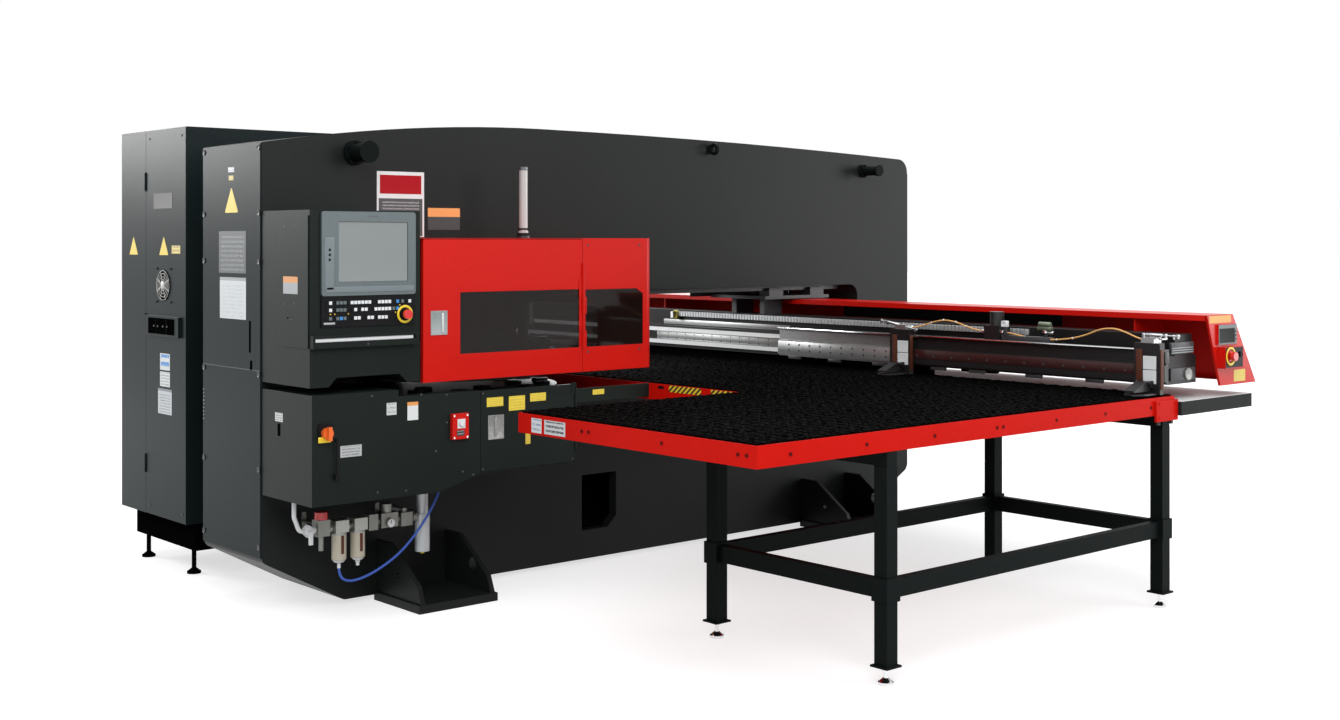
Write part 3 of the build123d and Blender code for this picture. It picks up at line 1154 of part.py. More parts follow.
for r in (26, 46, 66):
    ring = rod_x(CABINET_LEFT, CABINET_LEFT + 2, FAN_Y, FAN_Z, r) - rod_x(
        CABINET_LEFT - 1, CABINET_LEFT + 3, FAN_Y, FAN_Z, r - 3
    )
    cabinet_door += ring
for turn in (45, 135):
    spoke = Pos(CABINET_LEFT + 1, FAN_Y, FAN_Z) * Rot(turn, 0, 0) * Box(2, 2 * FAN_R + 2, 4)
    cabinet_door += spoke
for z in cabinet_knuckles:
    knuckle = z + 50 + AIR
    cabinet_door += post(CABINET_HINGE_X, CABINET_SPLIT, knuckle, knuckle + 50, BARREL_R)
    cabinet_door += block(
        CABINET_HINGE_X, CABINET_LEFT + 1, CABINET_SPLIT - 4, CABINET_SPLIT - 1.5, knuckle, knuckle + 50
    )
save("cabinet_door", cabinet_door)

fan = rod_x(door_back + 8, door_back + 26, FAN_Y, FAN_Z, 24) + rod_x(
    door_back + 20, door_back + 36, FAN_Y, FAN_Z, 5
)
for turn in range(0, 360, 72):
    blade = Pos(0, 48, 0) * Rot(0, 35, 0) * Box(3, 60, 26)
    fan += Pos(door_back + 17, FAN_Y, FAN_Z) * Rot(turn, 0, 0) * blade
save("cabinet_fan", fan)

plinth = block(
    CABINET_LEFT + 70, CABINET_RIGHT - 20, CABINET_FRONT + 40, CABINET_BACK - 40,
    PLINTH_BOTTOM, CABINET_BOTTOM
)
plinth -= block(
    CABINET_LEFT + 76, CABINET_RIGHT - 26, CABINET_FRONT + 46, CABINET_BACK - 46,
    PLINTH_BOTTOM - 1, CABINET_BOTTOM - 6
)
for x in (CABINET_LEFT + 100, CABINET_RIGHT - 90):
    for y in (CABINET_FRONT + 121, CABINET_BACK - 131):
        plinth += post(x, y, 12, CABINET_BOTTOM - 6, 12) + post(x, y, 0, 12, 36)
        plinth += Pos(x, y, 20) * Cone(34, 14, 16)
save("cabinet_plinth", plinth)


# Air service unit under the lower box: pipe, valve, manifold, regulators, filters and lubricator

AIR_Y = -250.0
AIR_Z = 432.0
PIPE_R = 16.0
pipe_line = FilletPolyline(
    (34, AIR_Y, BOX_BOTTOM), (34, AIR_Y, AIR_Z + 68), (60, AIR_Y, AIR_Z), (110, AIR_Y, AIR_Z), radius=24
)
unit = sweep(Plane(pipe_line @ 0, z_dir=pipe_line % 0) * Circle(10), path=pipe_line)
unit += Pos(104, AIR_Y, AIR_Z - 4) * Rot(0, 45, 0) * Box(42, 40, 42)
unit += block(96, 112, AIR_Y - 34, AIR_Y - 20, AIR_Z - 62, AIR_Z)
unit += block(140, 200, AIR_Y - 30, AIR_Y + 30, AIR_Z - 32, AIR_Z + 43)
unit += post(170, AIR_Y, AIR_Z - 100, AIR_Z - 32, 12)
unit -= post(170, AIR_Y, AIR_Z + 20, AIR_Z + 44, 8 + RUNNING)
unit += rod_x(104, 675, AIR_Y, AIR_Z, PIPE_R)
for left, right, low, high in ((404, 452, 34, 40), (470, 560, 30, 38), (578, 640, 34, 30)):
    unit += block(left, right, AIR_Y - 30, AIR_Y + 30, AIR_Z - low, AIR_Z + high)
unit += post(515, AIR_Y, AIR_Z + 38, AIR_Z + 78, 24) + post(609, AIR_Y, AIR_Z + 30, AIR_Z + 48, 15)
unit += rod_y(515, AIR_Y - 42, AIR_Y - 30, AIR_Z - 8, 22)
unit += rod_x(650, 668, AIR_Y, AIR_Z, 22)
for x in (204, 598):
    unit += block(x, x + 22, AIR_Y, 0, AIR_Z - 4, AIR_Z + 4)
    unit += block(x, x + 22, -6, 0, AIR_Z - 40, AIR_Z + 40)
HOSE_END = (778.0, -312.0, 592.0)
fitting = post(HOSE_END[0], HOSE_END[1], HOSE_END[2], BOX_END_BOTTOM + 20, 10)
fitting -= slab_xz(
    face(
        (BOX_SLOPE_X, BOX_BOTTOM),
        (BOX_END, BOX_END_BOTTOM),
        (BOX_END, BOX_END_BOTTOM + 60),
        (BOX_SLOPE_X, BOX_END_BOTTOM + 60),
    ),
    HOSE_END[1] - 20,
    HOSE_END[1] + 20,
)
save("air_unit", unit, fitting)

filters = []
for x in (262, 360):
    head = block(x - 34, x + 34, AIR_Y - 34, AIR_Y + 34, AIR_Z - 24, AIR_Z + 32)
    head += post(x, AIR_Y, AIR_Z - 150, AIR_Z - 24, 34) + Pos(x, AIR_Y, AIR_Z - 157) * Cone(22, 34, 14)
    head += post(x, AIR_Y, AIR_Z - 192, AIR_Z - 164, 8)
    filters.append(head - rod_x(x - 40, x + 40, AIR_Y, AIR_Z, PIPE_R))
oiler = post(712, AIR_Y, AIR_Z - 170, AIR_Z + 10, 36) + post(712, AIR_Y, AIR_Z + 10, AIR_Z + 108, 28)
oiler += block(694, 730, AIR_Y, 0, AIR_Z - 12, AIR_Z + 12)
filters.append(oiler)
save("air_filters", *filters)

air_knob = post(170, AIR_Y, AIR_Z + 43 + AIR, AIR_Z + 78, 31) + post(170, AIR_Y, AIR_Z + 22, AIR_Z + 44, 8)
save("air_valve_knob", air_knob)

hose_top = AIR_Z - 192
blue_hose = [
    (262, AIR_Y, hose_top),
    (263, AIR_Y - 1, hose_top - 26),
    (277, AIR_Y - 6, hose_top - 52),
    (308, AIR_Y - 12, hose_top - 66),
    (356, AIR_Y - 20, hose_top - 62),
    (418, AIR_Y - 30, hose_top - 42),
    (484, AIR_Y - 42, hose_top - 8),
    (550, AIR_Y - 53, hose_top + 36),
    (610, AIR_Y - 61, hose_top + 92),
    (665, AIR_Y - 64, hose_top + 155),
    (712, AIR_Y - 66, hose_top + 216),
    (748, AIR_Y - 65, hose_top + 275),
    (770, AIR_Y - 63, hose_top + 322),
    HOSE_END,
]
cord("air_hose", blue_hose, 6)
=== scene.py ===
"""Looks of a turret punch press with brush tables and a travelling clamp carriage.

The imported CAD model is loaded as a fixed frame. Each sub-assembly is a class that adds the pieces
that the frame doesn't carry; Press gives the CAD nodes their finishes.
"""

import json
import logging
import math
from dataclasses import dataclass
from enum import Enum
from typing import Callable, ClassVar, Iterable, Sequence

import bmesh
import bpy
from mathutils import Matrix, Vector

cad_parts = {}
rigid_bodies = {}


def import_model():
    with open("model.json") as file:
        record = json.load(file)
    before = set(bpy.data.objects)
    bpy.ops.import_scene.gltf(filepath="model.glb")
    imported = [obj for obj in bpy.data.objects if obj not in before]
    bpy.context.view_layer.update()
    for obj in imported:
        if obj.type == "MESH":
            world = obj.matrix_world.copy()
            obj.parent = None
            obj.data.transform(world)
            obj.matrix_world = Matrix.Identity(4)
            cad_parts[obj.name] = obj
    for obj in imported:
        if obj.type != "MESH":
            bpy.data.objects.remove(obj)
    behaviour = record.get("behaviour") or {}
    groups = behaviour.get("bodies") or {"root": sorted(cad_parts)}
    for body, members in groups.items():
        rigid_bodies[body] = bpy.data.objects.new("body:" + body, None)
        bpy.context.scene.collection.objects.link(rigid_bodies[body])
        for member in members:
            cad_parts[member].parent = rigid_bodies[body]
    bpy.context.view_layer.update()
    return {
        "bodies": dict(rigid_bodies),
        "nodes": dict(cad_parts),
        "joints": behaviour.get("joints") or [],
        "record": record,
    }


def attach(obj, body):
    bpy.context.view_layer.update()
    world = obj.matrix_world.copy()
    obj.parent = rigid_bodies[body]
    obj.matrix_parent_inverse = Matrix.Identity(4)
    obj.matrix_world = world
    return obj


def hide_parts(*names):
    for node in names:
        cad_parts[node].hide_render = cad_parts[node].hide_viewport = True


log = logging.getLogger("press")
Point = tuple[float, float, float]
Colour = tuple[float, float, float]
Piece = bpy.types.Object
Node = bpy.types.Node
Socket = bpy.types.NodeSocket
Tree = bpy.types.NodeTree

ORIGIN = Vector((-2.2925, -0.26935, 0.0))
SMOOTH_ANGLE = math.radians(40)
RIM_ANGLE = 1.2
SAME_WAY = 0.999


def at(x: float, y: float, z: float) -> Vector:
    """Turn a workshop place in millimetres, from the frame's corner, into metres in the row frame."""
    return Vector((x, y, z)) / 1000 + ORIGIN


class Axis(Enum):
    """The row axis that a round piece lies along."""

    X = (0.0, math.pi / 2, 0.0)
    Y = (math.pi / 2, 0.0, 0.0)
    Z = (0.0, 0.0, 0.0)


class Facing(Enum):
    """The way that an upright or level face looks."""

    FRONT = (0.0, -1.0, 0.0)
    LEFT = (-1.0, 0.0, 0.0)
    TOP = (0.0, 0.0, 1.0)

    @property
    def normal(self) -> Vector:
        """The direction the face looks."""
        return Vector(self.value)

    @property
    def axis(self) -> Axis:
        """The axis that a round piece on the face lies along."""
        return {"FRONT": Axis.Y, "LEFT": Axis.X, "TOP": Axis.Z}[self.name]

    def span(self, centre: Point, width: float, height: float, thick: float) -> tuple[Point, Point]:
        """Find the corners of a flat piece that stands on the face, all in workshop millimetres.

        Args:
            centre: Its middle on the face.
            width: Its level size.
            height: Its upright size, or its depth on a level face.
            thick: How far it stands off the face.

        Returns:
            Its lowest and highest corners.
        """
        x, y, z = centre
        a, b = width / 2, height / 2
        if self is Facing.FRONT:
            return (x - a, y - thick, z - b), (x + a, y, z + b)
        if self is Facing.LEFT:
            return (x - thick, y - a, z - b), (x, y + a, z + b)
        return (x - a, y - b, z), (x + a, y + b, z + thick)


LEFT, FRONT, TOP = Facing.LEFT, Facing.FRONT, Facing.TOP


# Shader building

class Shader:
    """A node tree being wired by hand, for a material or for a shared group."""

    def __init__(self, tree: Tree) -> None:
        """Start on an empty tree.

        Args:
            tree: The tree to fill.
        """
        self.tree = tree
        tree.nodes.clear()

    def node(self, kind: str, sockets: dict[str, object] | None = None, **values: object) -> Node:
        """Add a node, set its properties and feed its inputs.

        Args:
            kind: The node's type name without its ShaderNode prefix, or a full group node name.
            sockets: What each input takes: a number, a colour or another node's socket.
            values: Properties of the node.

        Returns:
            The new node.
        """
        made = self.tree.nodes.new(kind if kind.startswith("Node") else "ShaderNode" + kind)
        for key, value in values.items():
            setattr(made, key, value)
        for key, value in (sockets or {}).items():
            self.feed(value, made.inputs[key])
        return made

    def feed(self, value: object, target: Socket) -> None:
        """Set a socket from a number or a colour, or wire another socket to it."""
        if isinstance(value, Socket):
            self.tree.links.new(value, target)
        else:
            target.default_value = (*value, 1) if target.type == "RGBA" else value

    def math(self, operation: str, first: object, second: object = 0.0) -> Socket:
        """Add a sum of two values.

        Args:
            operation: The Math node's operation.
            first: A number or a socket.
            second: A number or a socket.

        Returns:
            The result's socket.
        """
        made = self.node("Math", operation=operation)
        self.feed(first, made.inputs[0])
        self.feed(second, made.inputs[1])
        return made.outputs["Value"]

    def span(self, value: Socket, low: float, high: float, to_low: object = 0.0,
             to_high: object = 1.0) -> Socket:
        """Turn one stretch of values into another.

        Args:
            value: The socket to read.
            low: The value that becomes to_low.
            high: The value that becomes to_high.
            to_low: The new low value, a number or a socket.
            to_high: The new high value, a number or a socket.

        Returns:
            The result's socket.
        """
        return self.node("MapRange", {"Value": value, "From Min": low, "From Max": high, "To Min": to_low,
                                      "To Max": to_high}).outputs["Result"]

    def blend(self, factor: object, first: object, second: object) -> Socket:
        """Mix two colours.

        Args:
            factor: How much of the second, a number or a socket.
            first: A colour or a socket.
            second: A colour or a socket.

        Returns:
            The mixed colour's socket.
        """
        return self.node("Mix", {"Factor": factor, "A": first, "B": second},
                         data_type="RGBA").outputs["Result"]

    def place(self) -> bpy.types.NodeOutputs:
        """The Object coordinates' X, Y and Z sockets."""
        return self.node("SeparateXYZ", {"Vector": self.node("TexCoord").outputs["Object"]}).outputs

    def noise(self, scale: object, detail: float = 3.0, stretch: Point | None = None) -> Socket:
        """Add a noise texture that reads Object coordinates.

        Args:
            scale: Noise cells per metre, a number or a socket.
            detail: Octaves.
            stretch: Scale along each axis, below 1 to draw the noise out.

        Returns:
            The noise value's socket.
        """
        place = self.node("TexCoord").outputs["Object"]
        if stretch is not None:
            place = self.node("Mapping", {"Vector": place, "Scale": stretch}).outputs["Vector"]
        return self.node("TexNoise", {"Vector": place, "Scale": scale, "Detail": detail}).outputs["Fac"]

    def seen(self) -> Socket:
        """One where the camera, gloss or glass sees the surface, and zero for its light."""
        path = self.node("LightPath").outputs
        direct = self.math("MAXIMUM", path["Is Camera Ray"], path["Is Transmission Ray"])
        return self.math("MAXIMUM", direct, path["Is Glossy Ray"])


def shared_group(name: str, inputs: dict[str, float], output: str, kind: str,
                 fill: Callable[[Shader, Node, Node], None]) -> Tree:
    """Make a shader group once and give it back each later time.

    Args:
        name: The group's name.
        inputs: Each number it takes, with its default.
        output: The name of what it gives out.
        kind: The socket type of what it gives out.
        fill: Wires the group's inside between its input and output nodes.

    Returns:
        The group.
    """
    if name not in bpy.data.node_groups:
        group = bpy.data.node_groups.new(name, "ShaderNodeTree")
        for label, default in inputs.items():
            socket = group.interface.new_socket(label, in_out="INPUT", socket_type="NodeSocketFloat")
            socket.default_value = default
        group.interface.new_socket(output, in_out="OUTPUT", socket_type=kind)
        shader = Shader(group)
        fill(shader, shader.node("NodeGroupInput"), shader.node("NodeGroupOutput"))
    return bpy.data.node_groups[name]


def fill_peel(shader: Shader, enter: Node, leave: Node) -> None:
    """Wire the fine waviness of sprayed or moulded surfaces, over softly rounded edges.

    Args:
        shader: The group's tree.
        enter: Its input node.
        leave: Its output node.
    """
    rounded = shader.node("Bevel", {"Radius": enter.outputs["Edge"]}, samples=3)
    bump = shader.node("Bump", {"Height": shader.noise(enter.outputs["Scale"], 4.0), "Distance": 0.001,
                                "Strength": enter.outputs["Depth"], "Normal": rounded.outputs["Normal"]})
    shader.feed(bump.outputs["Normal"], leave.inputs["Normal"])


BROAD_CELLS, FINE_CELLS = 2.3, 60.0


def fill_tone(shader: Shader, enter: Node, leave: Node) -> None:
    """Wire a broad, faint change of tone, as of handled and dusty enamel.

    Args:
        shader: The group's tree.
        enter: Its input node.
        leave: Its output node.
    """
    both = shader.math("ADD", shader.noise(BROAD_CELLS, 6.0), shader.noise(FINE_CELLS))
    shader.feed(shader.span(both, 0.7, 1.3, enter.outputs["Low"], enter.outputs["High"]),
                leave.inputs["Tone"])


def peel_group() -> Tree:
    """The shared group of fine waviness."""
    return shared_group("fine_waviness", {"Scale": 300.0, "Depth": 0.2, "Edge": 0.002}, "Normal",
                        "NodeSocketVector", fill_peel)


def tone_group() -> Tree:
    """The shared group of broad tone."""
    return shared_group("broad_tone", {"Low": 0.9, "High": 1.1}, "Tone", "NodeSocketFloat", fill_tone)


@dataclass(frozen=True)
class Finish:
    """One surface finish: its colour, its gloss and the small texture on it."""

    name: str
    colour: Colour
    roughness: float = 0.4
    metallic: float = 0.0
    peel_scale: float = 300.0
    peel_depth: float = 0.15
    edge: float = 0.0015
    tone: float = 0.12
    coat: float = 0.0
    alpha: float = 1.0
    drawn: Point | None = None
    shine: float = 0.5
    coat_roughness: ClassVar[float] = 0.12
    grain_cells: ClassVar[float] = 900.0

    def material(self) -> bpy.types.Material:
        """Build the finish's material, or find it where it was built before."""
        if self.name in bpy.data.materials:
            return bpy.data.materials[self.name]
        made = bpy.data.materials.new(self.name)
        made.use_nodes = True
        shader = Shader(made.node_tree)
        surface = shader.node("BsdfPrincipled", {
            "Roughness": self.roughness, "Metallic": self.metallic, "Specular IOR Level": self.shine,
            "Coat Weight": self.coat, "Coat Roughness": self.coat_roughness, "Alpha": self.alpha})
        shader.node("OutputMaterial", {"Surface": surface.outputs["BSDF"]})
        self.paint(shader, surface)
        self.texture(shader, surface)
        return made

    def paint(self, shader: Shader, surface: Node) -> None:
        """Wire the colour, with its broad change of tone.

        Args:
            shader: The material's tree.
            surface: Its surface shader.
        """
        tone = shader.node("Group", {"Low": 1 - self.tone, "High": 1 + self.tone}, node_tree=tone_group())
        grey = shader.node("CombineColor", dict.fromkeys(("Red", "Green", "Blue"), tone.outputs["Tone"]))
        tint = shader.node("Mix", {"Factor": 1.0, "A": self.colour, "B": grey.outputs["Color"]},
                           data_type="RGBA", blend_type="MULTIPLY")
        shader.feed(tint.outputs["Result"], surface.inputs["Base Color"])

    def texture(self, shader: Shader, surface: Node) -> None:
        """Wire the bump and, on drawn metal, the streaks along the grain.

        Args:
            shader: The material's tree.
            surface: Its surface shader.
        """
        if self.drawn is not None:
            streak = shader.span(shader.noise(self.grain_cells, 2.0, self.drawn), 0.0, 1.0,
                                 max(self.roughness - 0.12, 0.05), self.roughness + 0.14)
            shader.feed(streak, surface.inputs["Roughness"])
        peel = shader.node("Group", {"Scale": self.peel_scale, "Depth": self.peel_depth, "Edge": self.edge},
                           node_tree=peel_group())
        shader.feed(peel.outputs["Normal"], surface.inputs["Normal"])


@dataclass(frozen=True)
class Printed(Finish):
    """A printed label: a plain field, a header band and rows of unreadable marks."""

    facing: Facing = FRONT
    centre: Point = (0.0, 0.0, 0.0)
    width: float = 100.0
    height: float = 50.0
    band: Colour = (0.72, 0.30, 0.05)
    band_share: float = 0.0
    ink: Colour = (0.03, 0.03, 0.03)
    rows: float = 7.0
    cover: float = 0.48
    mark_cells: ClassVar[float] = 5200.0
    row_gap: ClassVar[float] = 0.5
    half_width: ClassVar[float] = 0.42
    margin: ClassVar[float] = 0.06

    def paint(self, shader: Shader, surface: Node) -> None:
        """Wire the field, the marks on it and its header band.

        Args:
            shader: The material's tree.
            surface: Its surface shader.
        """
        place = shader.place()
        middle = at(*self.centre)
        level, side = ("Y", middle.y) if self.facing is LEFT else ("X", middle.x)
        across = shader.span(place[level], side - self.width / 2000, side + self.width / 2000)
        up = shader.span(place["Z"], middle.z - self.height / 2000, middle.z + self.height / 2000)
        row = shader.math("GREATER_THAN", shader.math("FRACT", shader.math("MULTIPLY", up, self.rows)),
                          self.row_gap)
        dash = shader.math("LESS_THAN", shader.noise(self.mark_cells / self.height * self.rows, 1.0),
                           self.cover)
        inside = shader.math("LESS_THAN", shader.math("ABSOLUTE", shader.math("SUBTRACT", across, 0.5)),
                             self.half_width)
        body = (1 - self.band_share) / 2
        level_in = shader.math("ABSOLUTE", shader.math("SUBTRACT", up, body))
        inside = shader.math("MULTIPLY", inside, shader.math("LESS_THAN", level_in, body - self.margin))
        ink = shader.math("MULTIPLY", shader.math("MULTIPLY", row, dash), inside)
        header = shader.math("GREATER_THAN", up, 1 - self.band_share)
        marked = shader.blend(ink, self.colour, self.ink)
        shader.feed(shader.blend(header, marked, self.band), surface.inputs["Base Color"])


@dataclass(frozen=True)
class Zoned(Finish):
    """A finish that changes over stretches of the piece, as where small castings and pipes meet."""

    zones: tuple[tuple[str, float, float, Colour, float], ...] = ()
    wear_cells: ClassVar[float] = 35.0

    def paint(self, shader: Shader, surface: Node) -> None:
        """Wire the main colour and each stretch's colour and metal.

        Args:
            shader: The material's tree.
            surface: Its surface shader.
        """
        place = shader.place()
        worn = shader.noise(self.wear_cells, 4.0)
        colour: object = shader.blend(worn, self.colour, tuple(c * (1 - self.tone) for c in self.colour))
        metal: object = self.metallic
        for axis, low, high, tint, shine in self.zones:
            shift = ORIGIN["XYZ".index(axis)]
            mask = shader.math("MULTIPLY", shader.math("GREATER_THAN", place[axis], low / 1000 + shift),
                               shader.math("LESS_THAN", place[axis], high / 1000 + shift))
            colour = shader.blend(mask, colour, tint)
            kept = shader.math("MULTIPLY", shader.math("SUBTRACT", 1.0, mask), metal)
            metal = shader.math("ADD", kept, shader.math("MULTIPLY", mask, shine))
        shader.feed(colour, surface.inputs["Base Color"])
        shader.feed(metal, surface.inputs["Metallic"])


@dataclass(frozen=True)
class Hatched(Finish):
    """Slanting stripes in two colours."""

    other: Colour = (0.02, 0.02, 0.02)
    pitch: float = 0.05
    slope: float = 1.2

    def paint(self, shader: Shader, surface: Node) -> None:
        """Wire the stripes along the strip's length.

        Args:
            shader: The material's tree.
            surface: Its surface shader.
        """
        place = shader.place()
        slant = shader.math("ADD", place["Y"], shader.math("MULTIPLY", place["Z"], self.slope))
        stripe = shader.math("FRACT", shader.math("MULTIPLY", slant, 1 / self.pitch))
        mask = shader.math("GREATER_THAN", stripe, 0.5)
        shader.feed(shader.blend(mask, self.colour, self.other), surface.inputs["Base Color"])


# Finishes

CHARCOAL = Finish("charcoal_enamel", (0.010, 0.0115, 0.0110), 0.40, peel_scale=420, peel_depth=0.10,
                  edge=0.004, shine=0.12)
END_GREY = Finish("end_cover_enamel", (0.0090, 0.0145, 0.0150), 0.33, peel_scale=420, peel_depth=0.08,
                  edge=0.002, shine=0.065)
BOX_GREY = Finish("box_enamel", (0.0095, 0.0135, 0.0115), 0.40, peel_scale=480, peel_depth=0.12, edge=0.0025,
                  shine=0.09)
RED = Finish("signal_red_enamel", (0.56, 0.008, 0.004), 0.28, peel_scale=380, peel_depth=0.05, edge=0.003,
             tone=0.05, shine=0.16)
APRON_RED = Finish("apron_red_enamel", (0.56, 0.007, 0.003), 0.36, peel_scale=380, peel_depth=0.05,
                   edge=0.003, tone=0.05, shine=0.04)
BOLT_RED = Finish("dark_red_bolt", (0.10, 0.004, 0.003), 0.5, peel_scale=500, peel_depth=0.1, shine=0.05)
LEG = Finish("leg_enamel", (0.0040, 0.0062, 0.0058), 0.5, peel_scale=400, peel_depth=0.10, edge=0.003,
             shine=0.04)
BLACK_PAINT = Finish("black_paint", (0.005, 0.005, 0.005), 0.45, peel_scale=500, peel_depth=0.15, shine=0.06)
BLACK_PLASTIC = Finish("black_moulding", (0.006, 0.006, 0.007), 0.42, peel_scale=900, peel_depth=0.25,
                       edge=0.001, shine=0.10)
GREY_PLASTIC = Finish("grey_moulding", (0.095, 0.120, 0.125), 0.40, peel_scale=900, peel_depth=0.2,
                      edge=0.0015, tone=0.05)
BRISTLE = Finish("black_bristle", (0.0018, 0.0018, 0.0017), 0.80, peel_scale=1500, peel_depth=0.8, edge=0.001,
                 tone=0.5, shine=0.02)
GROUND = Finish("ground_steel", (0.42, 0.43, 0.44), 0.28, 1.0, 600, 0.05, 0.001, 0.10, drawn=(0.02, 1, 1))
TOOL = Finish("turned_tool_steel", (0.30, 0.31, 0.33), 0.32, 1.0, 600, 0.08, 0.001, 0.15, drawn=(1, 1, 0.05))
BLUED = Finish("oxide_black_steel", (0.030, 0.028, 0.029), 0.36, 0.7, 500, 0.12, 0.0015, 0.2)
BAR = Zoned("ground_bar", (0.030, 0.030, 0.031), 0.30, 0.6, 500, 0.06, 0.0015, 0.15, drawn=(1, 0.01, 1),
            zones=(("Y", -985.0, 0.0, (0.36, 0.37, 0.37), 0.85),))
CHROME = Finish("chrome_plate", (0.62, 0.63, 0.64), 0.12, 1.0, 300, 0.02, 0.001, 0.04)
ALUMINIUM = Finish("machined_aluminium", (0.48, 0.49, 0.50), 0.34, 1.0, 500, 0.08, 0.001, 0.10,
                   drawn=(1, 0.01, 1))
DIE_STEEL = Finish("blackened_die_steel", (0.012, 0.012, 0.012), 0.5, peel_scale=500, peel_depth=0.08,
                   edge=0.001, tone=0.06, shine=0.12)
ZINC = Finish("zinc_casting", (0.28, 0.285, 0.275), 0.42, 0.9, 700, 0.25, 0.001, 0.18)
CAST = Finish("grey_casting", (0.12, 0.125, 0.13), 0.6, 0.2, 260, 0.5, 0.002, 0.2)
WHITE = Finish("white_moulding", (0.72, 0.73, 0.74), 0.38, peel_scale=900, peel_depth=0.1, tone=0.04)
RED_BUTTON = Finish("red_button", (0.66, 0.012, 0.012), 0.25, peel_scale=900, peel_depth=0.05, tone=0.03,
                    coat=0.3)
PLAQUE_RED = Finish("plaque_red", (0.36, 0.006, 0.012), 0.5, peel_scale=900, peel_depth=0.05, tone=0.03,
                    shine=0.1)
ORANGE = Finish("orange_handle", (0.78, 0.13, 0.015), 0.32, peel_scale=900, peel_depth=0.08, tone=0.05)
YELLOW = Finish("safety_yellow", (0.80, 0.58, 0.03), 0.42, peel_scale=900, peel_depth=0.05, tone=0.05)
SMOKED = Finish("smoked_pane", (0.010, 0.006, 0.005), 0.04, peel_scale=4, peel_depth=0.002, edge=0.0005,
                tone=0.02, shine=0.25, alpha=0.76)
BLUE_TUBE = Finish("blue_hose", (0.003, 0.007, 0.050), 0.35, peel_scale=800, peel_depth=0.05, tone=0.08,
                   shine=0.25)
AMBER_TUBE = Finish("amber_hose", (0.60, 0.22, 0.04), 0.30, peel_scale=800, peel_depth=0.05, tone=0.10,
                    coat=0.2)
LABEL_WHITE = Finish("plain_white_label", (0.66, 0.68, 0.68), 0.5, peel_scale=1200, peel_depth=0.05,
                     tone=0.04)
LABEL_GREY = Finish("plain_grey_label", (0.30, 0.33, 0.33), 0.5, peel_scale=1200, peel_depth=0.05, tone=0.06)
KEY_WHITE = Finish("white_key_cap", (0.70, 0.72, 0.74), 0.4, peel_scale=1200, peel_depth=0.05, tone=0.03)
KEY_BLUE = Finish("blue_key_cap", (0.03, 0.22, 0.55), 0.4, peel_scale=1200, peel_depth=0.05, tone=0.03)
SHELF_TOP = Zoned("pale_shelf_sheet", (0.80, 0.80, 0.80), 0.55, 0.0, 300, 0.06, 0.0005, 0.04, shine=0.05,
                  zones=(("Z", 900.0, 981.6, (0.018, 0.020, 0.020), 0.0),))
BROWN_STRIP = Finish("brown_wear_strip", (0.085, 0.024, 0.012), 0.5, peel_scale=700, peel_depth=0.2,
                     tone=0.15, shine=0.2)
# Painted reflection: this dark red stands for the red apron reflected in the carriage bar's silver strip, not
# for wear.
RED_REFLECTION_BAND = Finish("maroon_wear_band", (0.040, 0.011, 0.010), 0.36, peel_scale=700, peel_depth=0.15,
                     tone=0.25, shine=0.35)
SCREEN = Finish("idle_screen", (0.205, 0.225, 0.225), 0.14, peel_scale=60, peel_depth=0.01, edge=0.0005,
                tone=0.01, coat=0.4)
SIGN_GREY = Finish("dark_sign_plate", (0.050, 0.050, 0.047), 0.5, peel_scale=900, peel_depth=0.10, tone=0.06,
                   shine=0.3)
OILED = Finish("oiled_rail_steel", (0.035, 0.034, 0.034), 0.38, 0.6, 500, 0.10, 0.001, 0.2)
BEZEL_LIGHT = Finish("light_bezel", (0.17, 0.20, 0.21), 0.42, peel_scale=900, peel_depth=0.15, tone=0.04,
                     shine=0.2)
SOLENOID = Finish("olive_solenoid", (0.14, 0.17, 0.12), 0.4, 0.5, 700, 0.15, tone=0.15)
BRIGHT_FACE = Finish("bright_milled_face", (0.36, 0.37, 0.365), 0.36, 0.75, 600, 0.06, 0.001, 0.14,
                     drawn=(1, 0.01, 1))
OLIVE = Finish("olive_gold_stop", (0.36, 0.32, 0.06), 0.35, 0.6, 700, 0.12, tone=0.15)
LCD = Finish("small_dark_display", (0.018, 0.022, 0.019), 0.40, peel_scale=60, peel_depth=0.01, tone=0.04,
             shine=0.04)
DUCT = Finish("dull_black_duct", (0.0022, 0.0022, 0.0022), 0.8, peel_scale=500, peel_depth=0.15, shine=0.0)
DARK_BEAM = Finish("dark_beam_enamel", (0.008, 0.008, 0.008), 0.38, peel_scale=420, peel_depth=0.10,
                   edge=0.002, shine=0.2)
HATCH = Hatched("hatched_edge_strip", (0.78, 0.60, 0.03), 0.4, peel_scale=900, peel_depth=0.05, pitch=0.034)
AIR_UNIT = Zoned("air_unit_castings", (0.22, 0.225, 0.205), 0.40, 0.75, 700, 0.25, 0.001, 0.25, zones=(
    ("X", -50.0, 138.0, (0.68, 0.70, 0.70), 0.0), ("X", 400.0, 470.0, (0.20, 0.21, 0.19), 0.6),
    ("X", 560.0, 606.0, (0.20, 0.21, 0.19), 0.6)))
FILTERS = Zoned("filter_bowls", (0.50, 0.46, 0.36), 0.36, 0.0, 900, 0.12, 0.001, 0.10, zones=(
    ("Z", 406.0, 600.0, (0.36, 0.37, 0.34), 0.7), ("Z", 200.0, 278.0, (0.70, 0.72, 0.72), 0.0),
    ("X", 660.0, 760.0, (0.42, 0.44, 0.45), 0.3)))
LAMP_TUBE = Zoned("lamp_tube", (0.46, 0.45, 0.44), 0.28, 0.10, 900, 0.05, 0.001, 0.04, 0.3, zones=(
    ("Z", 1700.0, 1792.0, (0.02, 0.02, 0.02), 0.0), ("Z", 2108.0, 2200.0, (0.12, 0.13, 0.14), 0.6)))
